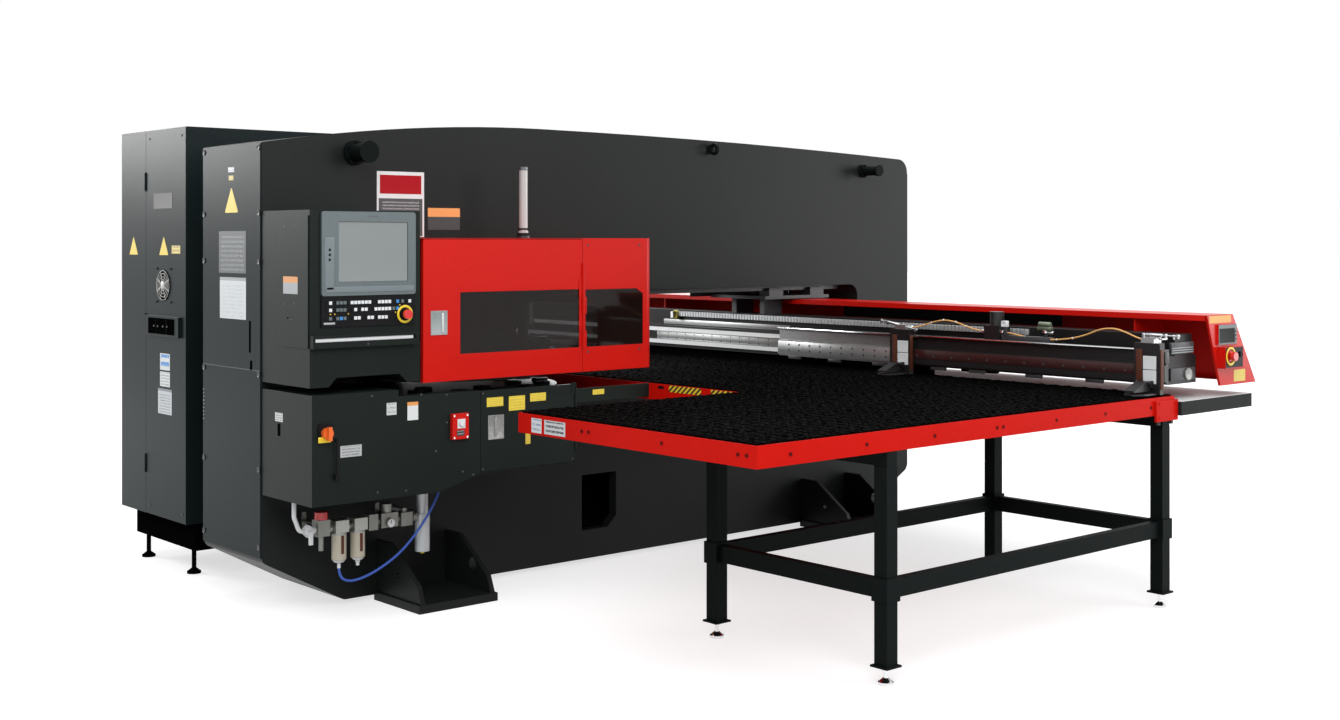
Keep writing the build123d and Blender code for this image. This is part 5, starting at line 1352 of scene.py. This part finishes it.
@dataclass
class AirService:
    """The air service unit: drain cap, gauge face, bowl windows, bands and nuts."""

    y: float = -250.0
    z: float = 432.0
    bowls: tuple[float, float] = (262.0, 360.0)
    oiler_x: float = 712.0

    def build(self) -> None:
        """Model the unit's small pieces."""
        y, z = self.y, self.z
        windows = [Bench.slab(f"bowl_window_{k}", *FRONT.span((x, y - 33, z - 80), 14, 84, 3))
                   for k, x in enumerate(self.bowls)]
        Bench.group("bowl_windows", windows, BROWN_STRIP, "amber_hose")
        cap = Bench.round("bowl_drains", (self.bowls[1], y, z - 172), 0.011, 0.012, Axis.Z, 0.002)
        Bench.dress(cap, WHITE, "white_plastic")
        bands = [Bench.round(f"bowl_band_{k}", (x, y, z - 30), 0.0362, 0.010, Axis.Z, 0.0015, 32)
                 for k, x in enumerate(self.bowls)]
        Bench.group("bowl_bands", bands, ZINC, "cast_grey")
        face = Bench.round("gauge_face", (515, -293, 424), 0.019, 0.002, Axis.Y, 0.0004, 32)
        Bench.sink(face, FRONT.normal, 0.003, 0.0006)
        Bench.dress(face, WHITE, "white_plastic")
        Block("gauge_needle", (513.6, -294.6, 422), (516.4, -293.8, 438), BLACK_PAINT, "black_paint",
              bevel=0.0003).build()
        nuts = [Bench.round(f"air_nut_{k}", (x, y, z), 0.019, 0.014, Axis.X, 0.0015, 6)
                for k, x in enumerate((218, 311, 392, 654, 672))]
        Bench.group("air_nuts", nuts, ZINC, "cast_grey")
        tip = Bench.round("oiler_tip", (self.oiler_x, y, z - 176), 0.010, 0.014, Axis.Z, 0.002)
        Bench.dress(tip, YELLOW, "orange_plastic")
        lid = Bench.round("oiler_lid", (self.oiler_x, y, z + 110), 0.022, 0.006, Axis.Z, 0.0015, 32)
        Bench.dress(lid, ZINC, "cast_grey")


@dataclass
class TableTrim:
    """Bolts, studs, the hatched strips and labels on the red table aprons."""

    front_y: float = -2650.0
    left_x: float = 610.0
    strip_x: float = 1950.0

    def build(self) -> None:
        """Model the tables' trim."""
        front = [(x, self.front_y, 965) for x in (784, 1205, 1615, 2025, 2068, 2450, 2828, 3205)]
        side = [(self.left_x, y, 970) for y in (-2552, -2598, -2125, -1670, -1625)]
        Bolts("apron_bolts_front", FRONT, front, 8, 3, BOLT_RED).build()
        Bolts("apron_bolts_left", LEFT, side, 8, 3, BOLT_RED).build()
        Block("table_edge_seal", (3403, -1190, 988), (3409, 1782, 1052), DUCT, "black_paint").build()
        label("apron_label_white", LEFT, (self.left_x, -1312, 965), (72, 62), BRIGHT_PAPER, rows=3,
              ink=(0.15, 0.22, 0.40), cover=0.5)
        label("apron_label_dark", LEFT, (self.left_x, -1440, 965), (146, 60), (0.60, 0.62, 0.63), rows=3,
              cover=0.58)
        for name, near, far in (("edge_strip_near", -1166, -957), ("edge_strip_far", -883, -638)):
            Plate(name, LEFT, (self.strip_x, (near + far) / 2, 991), far - near, 34, HATCH,
                  "orange_plastic").build()
        Plate("edge_slot", LEFT, (self.strip_x, -575, 993), 44, 15, BLACK_PLASTIC, "black_plastic").build()
        corner = [(x, self.front_y - 12, z) for x in (3262, 3400) for z in (912, 980)]
        Bolts("corner_block_bolts", FRONT, corner, 8, 3, APRON_RED, "red_paint").build()
        studs = [Bench.round(f"corner_stud_{k}", (x, -2640, 886), 0.011, 0.020, Axis.Z, 0.002, 6)
                 for k, x in enumerate((3285, 3395))]
        Bench.group("corner_studs", studs, BLACK_PAINT, "black_paint")


@dataclass
class CarriageTrim:
    """The carriage's trim: bands on bar and beam, plates on the clamps, hose ties, valve parts and panel."""

    band_x: float = 3305.0
    lever_x: float = 3283.0
    clamp_x: float = 3266.0
    hose_x: float = 3318.0
    beam_x: float = 3370.0
    rib_x: float = 3430.0
    beam_end_y: float = -2640.0
    panel_y: float = -2712.0
    bar: str = "x_carriage"
    beam: str = "carriage_base"

    def build(self) -> None:
        """Model the carriage's trim."""
        self.bar_bands()
        self.beam_strips()
        self.clamp(1, (-1084, 76), (-1027, 32), -1130)
        self.clamp(2, (-2606, 72), (-2550, 34), -2660)
        self.lever(1, -903, -1176, 1310, 1266)
        self.lever(2, -2554, -2755, 1303, 1303)
        self.drive()
        self.ties()
        self.panel()
        self.beam_end()

    def bar_bands(self) -> None:
        """Model the painted red reflection band, the silver far face, the silver top edge and their screws.
        """
        x, bar = self.band_x, self.bar
        # Painted reflection: a dark red band over the silver strip, standing for the red apron reflected in
        # it.
        Block("wear_band", (x - 2, -2515, 1110), (x, -1135, 1158), RED_REFLECTION_BAND, "amber_hose", bar,
              0.0008).build()
        Block("far_face", (x - 2, -985, 1084), (x, -84, 1156), BRIGHT_FACE, "bare_aluminium", bar,
              0.0008).build()
        Block("top_edge", (3298.5, -2658, 1225), (3300, -82, 1235), CHROME, "bare_aluminium", bar,
              0.0006).build()
        near = [(x - 2, y, 1126) for y in range(-2450, -1150, 118)]
        far = [(x - 2, y, z) for y in range(-930, -90, 84) for z in (1104, 1136)]
        Bolts("wear_band_screws", LEFT, near, 6, 2, body=bar).build()
        Bolts("far_face_screws", LEFT, far, 6, 1.5, body=bar).build()
        Bolts("bar_top_screws", TOP, [(3330, y, 1235) for y in range(-2560, -100, 240)], 6, 3,
              body=bar).build()
        pads = Bench.slab("under_bracket", (3322, -1330, 1050), (3338, -1230, 1069), 0.002)
        Bench.repeat(pads, [Vector((0, dy / 1000, 0)) for dy in (-260, -620, -980, 420, 760, 1080)])
        Bench.dress(pads, BLACK_PAINT, "cast_grey", bar)

    def beam_strips(self) -> None:
        """Model the bright strips on the beam, the cable tray under it and the duct in the cover."""
        x, beam = self.beam_x, self.beam
        low = Bench.slab("beam_strip_low", (x - 1.2, -60, 1110), (x, 1100, 1162), 0.0004)
        high = Bench.slab("beam_strip_high", (self.rib_x - 1.5, -60, 1206), (self.rib_x, 1100, 1238), 0.0004)
        Bench.group("beam_strips", [low, high], BRIGHT_FACE, "bare_aluminium", beam)
        dots = [(x - 1.2, y, z) for y in range(-20, 1090, 84) for z in (1120, 1150)]
        Bolts("beam_strip_dots", LEFT, dots, 5, 0.6, body=beam, sides=12).build()
        tray = Bench.slab("beam_cable_tray", (3588, -1071, 1026), (3600, 3180, 1062), 0.003)
        lump = Bench.slab("beam_cable_box", (3560, -1485, 1030), (3600, -1247, 1062), 0.008)
        duct = Bench.slab("cover_duct", (3604, -1877, 1303), (3612, -336, 1388), 0.002)
        Bench.group("beam_ducts", [tray, lump, duct], DUCT, "black_paint", beam)

    def clamp(self, number: int, white: tuple[float, float], left: tuple[float, float],
              front_y: float) -> None:
        """Model one clamp's white plates, with a brown strip on each side of them.

        Args:
            number: The clamp's number.
            white: Middle and width of the white plates along the bar.
            left: Middle and width of the strip on the far side.
            front_y: The clamp's front face, which carries the other strip.
        """
        x, name = self.clamp_x, f"clamp_{number}"
        plates = []
        for k, z in enumerate((1172, 1105)):
            plate = Bench.slab(f"{name}_plate_{k}", *LEFT.span((x, white[0], z), white[1] - 2, 64, 3))
            Bench.sink(plate, LEFT.normal, 0.004, 0.0004)
            plates.append(plate)
        Bench.group(name + "_plates", plates, LABEL_WHITE, "white_plastic", self.bar)
        far = Bench.slab(name + "_strip_far", *LEFT.span((x, left[0], 1140), left[1], 190, 4), 0.0015)
        near = Bench.slab(name + "_strip_near", *FRONT.span((x + 16, front_y, 1140), 26, 190, 3))
        Bench.group(name + "_strips", [far, near], BROWN_STRIP, "amber_hose", self.bar)
        screws = [(x - 4, left[0], z) for z in (1060, 1140, 1220)]
        Bolts(name + "_screws", LEFT, screws, 4, 2, body=self.bar, sides=12).build()

    def lever(self, number: int, far_y: float, near_y: float, far_z: float, near_z: float) -> None:
        """Model the slim silver cylinder, its rod and its links on top of one clamp.

        Args:
            number: The clamp's number.
            far_y: The end away from the front.
            near_y: The end towards the front.
            far_z: Height of the far end.
            near_z: Height of the near end.
        """
        x, name = self.lever_x, f"lever_{number}"
        length = far_y - near_y
        middle = (far_y + near_y) / 2
        rise = (far_z + near_z) / 2
        parts = [Bench.round(name + "_rod", (x, middle, rise), 0.0035, length / 1000, Axis.Y, sides=12),
                 Bench.round(name + "_tube", (x, middle + length * 0.18, rise), 0.0085, length / 2500, Axis.Y,
                             0.0015, 16)]
        for k, y in enumerate(middle + length * share for share in (-0.44, -0.12, 0.30, 0.46)):
            parts.append(Bench.slab(f"{name}_link_{k}", (x - 7, y - 5, rise - 13), (x + 9, y + 5, rise + 8),
                                    0.0015))
        for k, y in enumerate(middle + length * share for share in (-0.30, 0.10)):
            parts.append(Bench.round(f"{name}_pin_{k}", (x + 13, y, rise - 6), 0.005, 0.022, sides=16))
        whole = Bench.merge(name, parts)
        pivot = at(x, middle, rise)
        tilt = Matrix.Rotation(math.atan2(far_z - near_z, length), 4, "X")
        whole.data.transform(Matrix.Translation(pivot) @ tilt @ Matrix.Translation(-pivot))
        cross = Bench.slab(name + "_cross", (x - 9, middle - 8, rise - 22), (3330, middle + 6, rise - 14),
                           0.002)
        Bench.group(name, [whole, cross], ALUMINIUM, "bare_aluminium", self.bar)

    def drive(self) -> None:
        """Model the cross drive's connector, solenoid, tee and valve block."""
        plug = Bench.slab("drive_connector", (3286, -1757, 1305), (3314, -1725, 1337), 0.003)
        Bench.sink(plug, LEFT.normal, 0.006, 0.003)
        Bench.dress(plug, WHITE, "white_plastic", self.bar)
        coil = Bench.round("drive_solenoid", (3330, -1967, 1325), 0.014, 0.070, Axis.Y, 0.003)
        cap = Bench.slab("drive_solenoid_block", (3312, -2006, 1297), (3348, -1930, 1314), 0.003)
        Bench.group("drive_solenoid", [coil, cap], SOLENOID, "cast_grey", self.bar)
        tee = Bench.slab("drive_tee", (3318, -1980, 1272), (3342, -1962, 1298), 0.002)
        arm = Bench.round("drive_tee_arm", (3330, -1990, 1285), 0.008, 0.060, Axis.Y, sides=16)
        Bench.group("drive_tee", [tee, arm], CHROME, "chrome_plate", self.bar)
        base = Bench.slab("drive_valve_block", (3308, -2010, 1234), (3352, -1712, 1262), 0.002)
        post = Bench.slab("drive_plug_foot", (3296, -1750, 1261), (3308, -1732, 1306), 0.002)
        foot = Bench.slab("drive_tee_foot", (3322, -1978, 1261), (3338, -1964, 1273))
        Bench.group("drive_valve_block", [base, post, foot], BLACK_PAINT, "black_paint", self.bar)

    def ties(self) -> None:
        """Model the white ties round the amber tubes and the small unions at their ends."""
        places = ((-1240.5, 1307), (-1324, 1324.5), (-1408, 1317), (-1477, 1297), (-1850, 1258.5),
                  (-1945, 1251.5), (-2045, 1253), (-2140, 1264.5))
        ties = [Bench.round(f"tube_tie_{k}", (self.hose_x, y, z), 0.0058, 0.005, Axis.Y, sides=16)
                for k, (y, z) in enumerate(places)]
        Bench.group("tube_ties", ties, WHITE, "white_plastic", self.bar)
        ends = [Bench.round(f"tube_end_{k}", (self.hose_x, y, 1277), 0.0085, 0.016, Axis.Y, sides=6)
                for k, y in enumerate((-1104, -1591, -1709, -2546))]
        Bench.group("tube_unions", ends, CHROME, "chrome_plate", self.bar)

    def panel(self) -> None:
        """Model the cap panel's labels, display, keys and stop ring."""
        y, beam = self.panel_y, self.beam
        label("cap_orange_label", FRONT, (3722, y, 1368), (204, 36), (0.72, 0.34, 0.06), beam, cover=0.0)
        Plate("cap_display_bezel", FRONT, (3775, y - 10, 1292.5), 170, 96, BEZEL_LIGHT, "grey_plastic", beam,
              1.5, 5, 0.5).build()
        Plate("cap_display", FRONT, (3768, y - 11.4, 1287), 142, 70, LCD, "smoked_glass", beam, 1.2, 3,
              0.4).build()
        keys = [(3849, y - 11, z) for z in (1268, 1286, 1304)]
        Bolts("cap_display_keys", FRONT, keys, 4, 2, BLACK_PLASTIC, "black_plastic", beam, 12).build()
        Plate("stop_plate", FRONT, (3784, y - 40, 1181), 160, 98, BLACK_PLASTIC, "black_plastic", beam,
              1.2, 4, 0.3).build()
        stop_ring("carriage_stop_ring", (3745, y - 44, 1188), 46, beam)
        knob = Bench.round("cap_key_switch", (3833, y - 47, 1194), 0.013, 0.012, Axis.Y, 0.002, 20)
        Bench.sink(knob, FRONT.normal, 0.005, 0.003)
        Bench.dress(knob, BLACK_PLASTIC, "black_plastic", beam)
        label("cap_yellow_label", FRONT, (3906, y, 1084), (110, 58), (0.66, 0.50, 0.06), beam, rows=4,
              ink=(0.36, 0.26, 0.03), cover=0.4)

    def beam_end(self) -> None:
        """Model the front end of the beam and bar: dark blocks, a round bearing and pale stripes."""
        y, beam = self.beam_end_y, self.beam
        upper = Bench.slab("beam_end_block", (3378, y - 14, 1207), (3580, y, 1264), 0.003)
        lower = Bench.slab("beam_end_foot", (3384, y - 8, 1078), (3600, y, 1140), 0.003)
        Bench.group("beam_end_block", [upper, lower], BLACK_PAINT, "black_paint", beam)
        stripe = Bench.slab("beam_end_stripes", (3380, y - 15.5, 1212), (3570, y - 14, 1217), 0.0004)
        Bench.repeat(stripe, [Vector((0, 0, 0.011 * k)) for k in range(1, 3)])
        Bench.dress(stripe, LABEL_GREY, "chrome_plate", beam)
        bearing = Bench.round("beam_end_bearing", (3530, y - 12, 1107), 0.030, 0.012, Axis.Y, 0.003, 32)
        Bench.sink(bearing, FRONT.normal, 0.010, 0.004)
        Bench.dress(bearing, ZINC, "cast_grey", beam)
        Block("bar_end_block", (3306, -2664, 1168), (3342, -2658, 1222), BLACK_PAINT, "black_paint", self.bar,
              0.002).build()


@dataclass
class Throat:
    """The round end stop and the dark rear screen that show in the sheet throat."""

    def build(self) -> None:
        """Model the throat's pieces."""
        stop = Bench.round("end_stop", (3407, 955, 1270), 0.030, 0.024, Axis.X, 0.004)
        Bench.sink(stop, LEFT.normal, 0.010, 0.004)
        Bench.dress(stop, OLIVE, "cast_grey", "carriage_base")
        Block("throat_rear_screen", (3220, 611, 1400), (4100, 613, 1474), BLACK_PAINT, "black_paint",
              bevel=0.0006).build()


# The CAD nodes that each finish dresses
DRESSED = (
    (CHARCOAL, "bridge_frame foot_brackets"),
    (END_GREY, "end_covers cabinet_shell cabinet_door"),
    (LEG, "lifting_lugs table_legs table_braces"),
    (CAST, "turret_bearings ram_unit scrap_chute"),
    (BLACK_PAINT, "drive_motors base_saddle"),
    (OILED, "base_rails"),
    (BOX_GREY, "console_housing lower_box lower_door"),
    (GREY_PLASTIC, "console_screen"),
    (BLACK_PLASTIC, "console_keys main_switch_base cabinet_fan"),
    (RED, "push_button_box guard_fixed rear_guard guard_door carriage_cover cover_ends"),
    (AIR_UNIT, "air_unit"),
    (FILTERS, "air_filters"),
    (DUCT, "cabinet_plinth"),
    (SMOKED, "guard_fixed_window guard_door_window"),
    (LAMP_TUBE, "signal_lamp"),
    (RED_BUTTON, "console_estop air_valve_knob carriage_estop"),
    (ORANGE, "main_switch_knob"),
    (WHITE, "start_button"),
    (BLUED, "upper_turret lower_turret clamp_bodies clamp_jaw_1 clamp_jaw_2"),
    (TOOL, "punch_tools active_punch"),
    (DIE_STEEL, "die_set active_die"),
    (GROUND, "striker beam_rails"),
    (DARK_BEAM, "carriage_beam"),
    (BAR, "carriage_bar"),
    (FITTINGS, "carriage_fittings"),
    (APRON_RED, "centre_table side_tables"),
    (BRISTLE, "brush_mats"),
    (SHELF_TOP, "table_extensions"),
    (CHROME, "table_feet"),
)


@dataclass
class Press:
    """The whole machine, in the order it is dressed."""

    frame: dict

    def build(self) -> None:
        """Dress every node, then build each sub-assembly's own pieces."""
        for finish, nodes in DRESSED:
            for node in nodes.split():
                paint_node(self.frame, node, finish)
        for part in (Hoses(), BrushTables(), EndPanel(), Cabinet(), Console(), FrontPlate(), ControlBox(),
                     Guard(), SignalLamp(), AirService(), TableTrim(), CarriageTrim(), Throat()):
            part.build()


@dataclass
class Studio:
    """A plain pale floor, soft light from above and a camera at the photograph's place."""

    eye: Point = (-5.6532, -6.97125, 1.755)
    floor_size: float = 120.0
    yaw: float = 41.25
    lens: float = 42.08
    shift: float = -0.0894
    floor_grey: float = 0.50
    near: tuple[float, float] = (3.0, 0.66)
    far: tuple[float, float] = (9.0, 1.02)
    sky: Colour = (0.93, 0.96, 1.0)
    sky_strength: float = 0.45
    white: Colour = (1.0, 1.0, 1.0)
    lamps: tuple[tuple[str, Point, Point, float, float], ...] = (
        ("key", (-5.0, -6.5, 6.0), (0.3, 0.0, 0.9), 4.5, 400),
        ("fill", (3.0, -8.5, 5.0), (0.5, -0.5, 1.0), 5.0, 230),
        ("top", (0.0, -0.5, 7.0), (0.0, 0.0, 0.0), 7.0, 320),
        ("left_rear", (-6.2, 9.8, 4.6), (-2.2, 1.0, 2.0), 4.0, 800),
        ("right_front", (10.2, -7.0, 2.5), (2.0, 0.0, 1.2), 4.0, 250),
        ("rim", (6.0, 7.0, 4.5), (0.0, 0.0, 1.0), 5.0, 180))

    def build(self) -> None:
        """Set up the floor, world, lamps and camera."""
        bpy.context.scene.view_settings.view_transform = "Standard"
        self.floor()
        self.world()
        for lamp in self.lamps:
            self.lamp(*lamp)
        self.camera()

    def floor(self) -> None:
        """Lay the pale floor, which keeps the machine's shadow and is brighter far from it."""
        Bench.clear()
        bpy.ops.mesh.primitive_plane_add(size=self.floor_size, location=(0, 0, 0))
        ground = bpy.context.object
        ground.name = "studio_floor"
        made = bpy.data.materials.new("studio_floor")
        made.use_nodes = True
        shader = Shader(made.node_tree)
        matt = shader.node("BsdfDiffuse", {"Color": (self.floor_grey,) * 3}).outputs["BSDF"]
        away = shader.node("VectorMath", {0: shader.node("TexCoord").outputs["Object"]}, operation="LENGTH")
        rise = shader.span(away.outputs["Value"], self.near[0], self.far[0], self.near[1], self.far[1])
        lift = shader.node("Emission", {"Color": self.white, "Strength": rise}).outputs["Emission"]
        both = shader.node("AddShader", {0: matt, 1: lift}).outputs["Shader"]
        mix = shader.node("MixShader", {"Fac": shader.seen(), 1: matt, 2: both})
        shader.node("OutputMaterial", {"Surface": mix.outputs["Shader"]})
        ground.data.materials.append(made)

    def world(self) -> None:
        """White where the camera, gloss or glass sees it, and soft grey as light."""
        world = bpy.data.worlds.new("studio")
        bpy.context.scene.world = world
        world.use_nodes = True
        shader = Shader(world.node_tree)
        soft = shader.node("Background", {"Color": self.sky,
                                          "Strength": self.sky_strength}).outputs["Background"]
        white = shader.node("Background", {"Color": self.white, "Strength": 1.0}).outputs["Background"]
        mix = shader.node("MixShader", {"Fac": shader.seen(), 1: soft, 2: white})
        shader.node("OutputWorld", {"Surface": mix.outputs["Shader"]})

    def lamp(self, name: str, place: Point, aim: Point, size: float, power: float) -> None:
        """Hang a soft square lamp.

        Args:
            name: The lamp's name.
            place: Where it hangs, in metres.
            aim: The point it faces.
            size: Its side.
            power: Its power in watts.
        """
        data = bpy.data.lights.new(name, "AREA")
        data.size = size
        data.energy = power
        lamp = bpy.data.objects.new(name, data)
        lamp.location = place
        lamp.rotation_euler = (Vector(aim) - Vector(place)).to_track_quat("-Z", "Y").to_euler()
        bpy.context.collection.objects.link(lamp)

    def camera(self) -> None:
        """Stand the camera where the photograph was taken from."""
        data = bpy.data.cameras.new("camera")
        data.lens = self.lens
        data.sensor_width = 36.0
        data.shift_y = self.shift
        data.clip_end = 200
        camera = bpy.data.objects.new("camera", data)
        camera.location = self.eye
        camera.rotation_euler = (math.pi / 2, 0, -math.radians(self.yaw))
        bpy.context.collection.objects.link(camera)
        bpy.context.scene.camera = camera


def main() -> None:
    """Load the frame, dress the machine and set up the studio."""
    logging.basicConfig(level=logging.INFO, format="%(name)s: %(message)s")
    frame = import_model()
    Bench.clear()
    Press(frame).build()
    Studio().build()


if __name__ == "__main__":
    main()
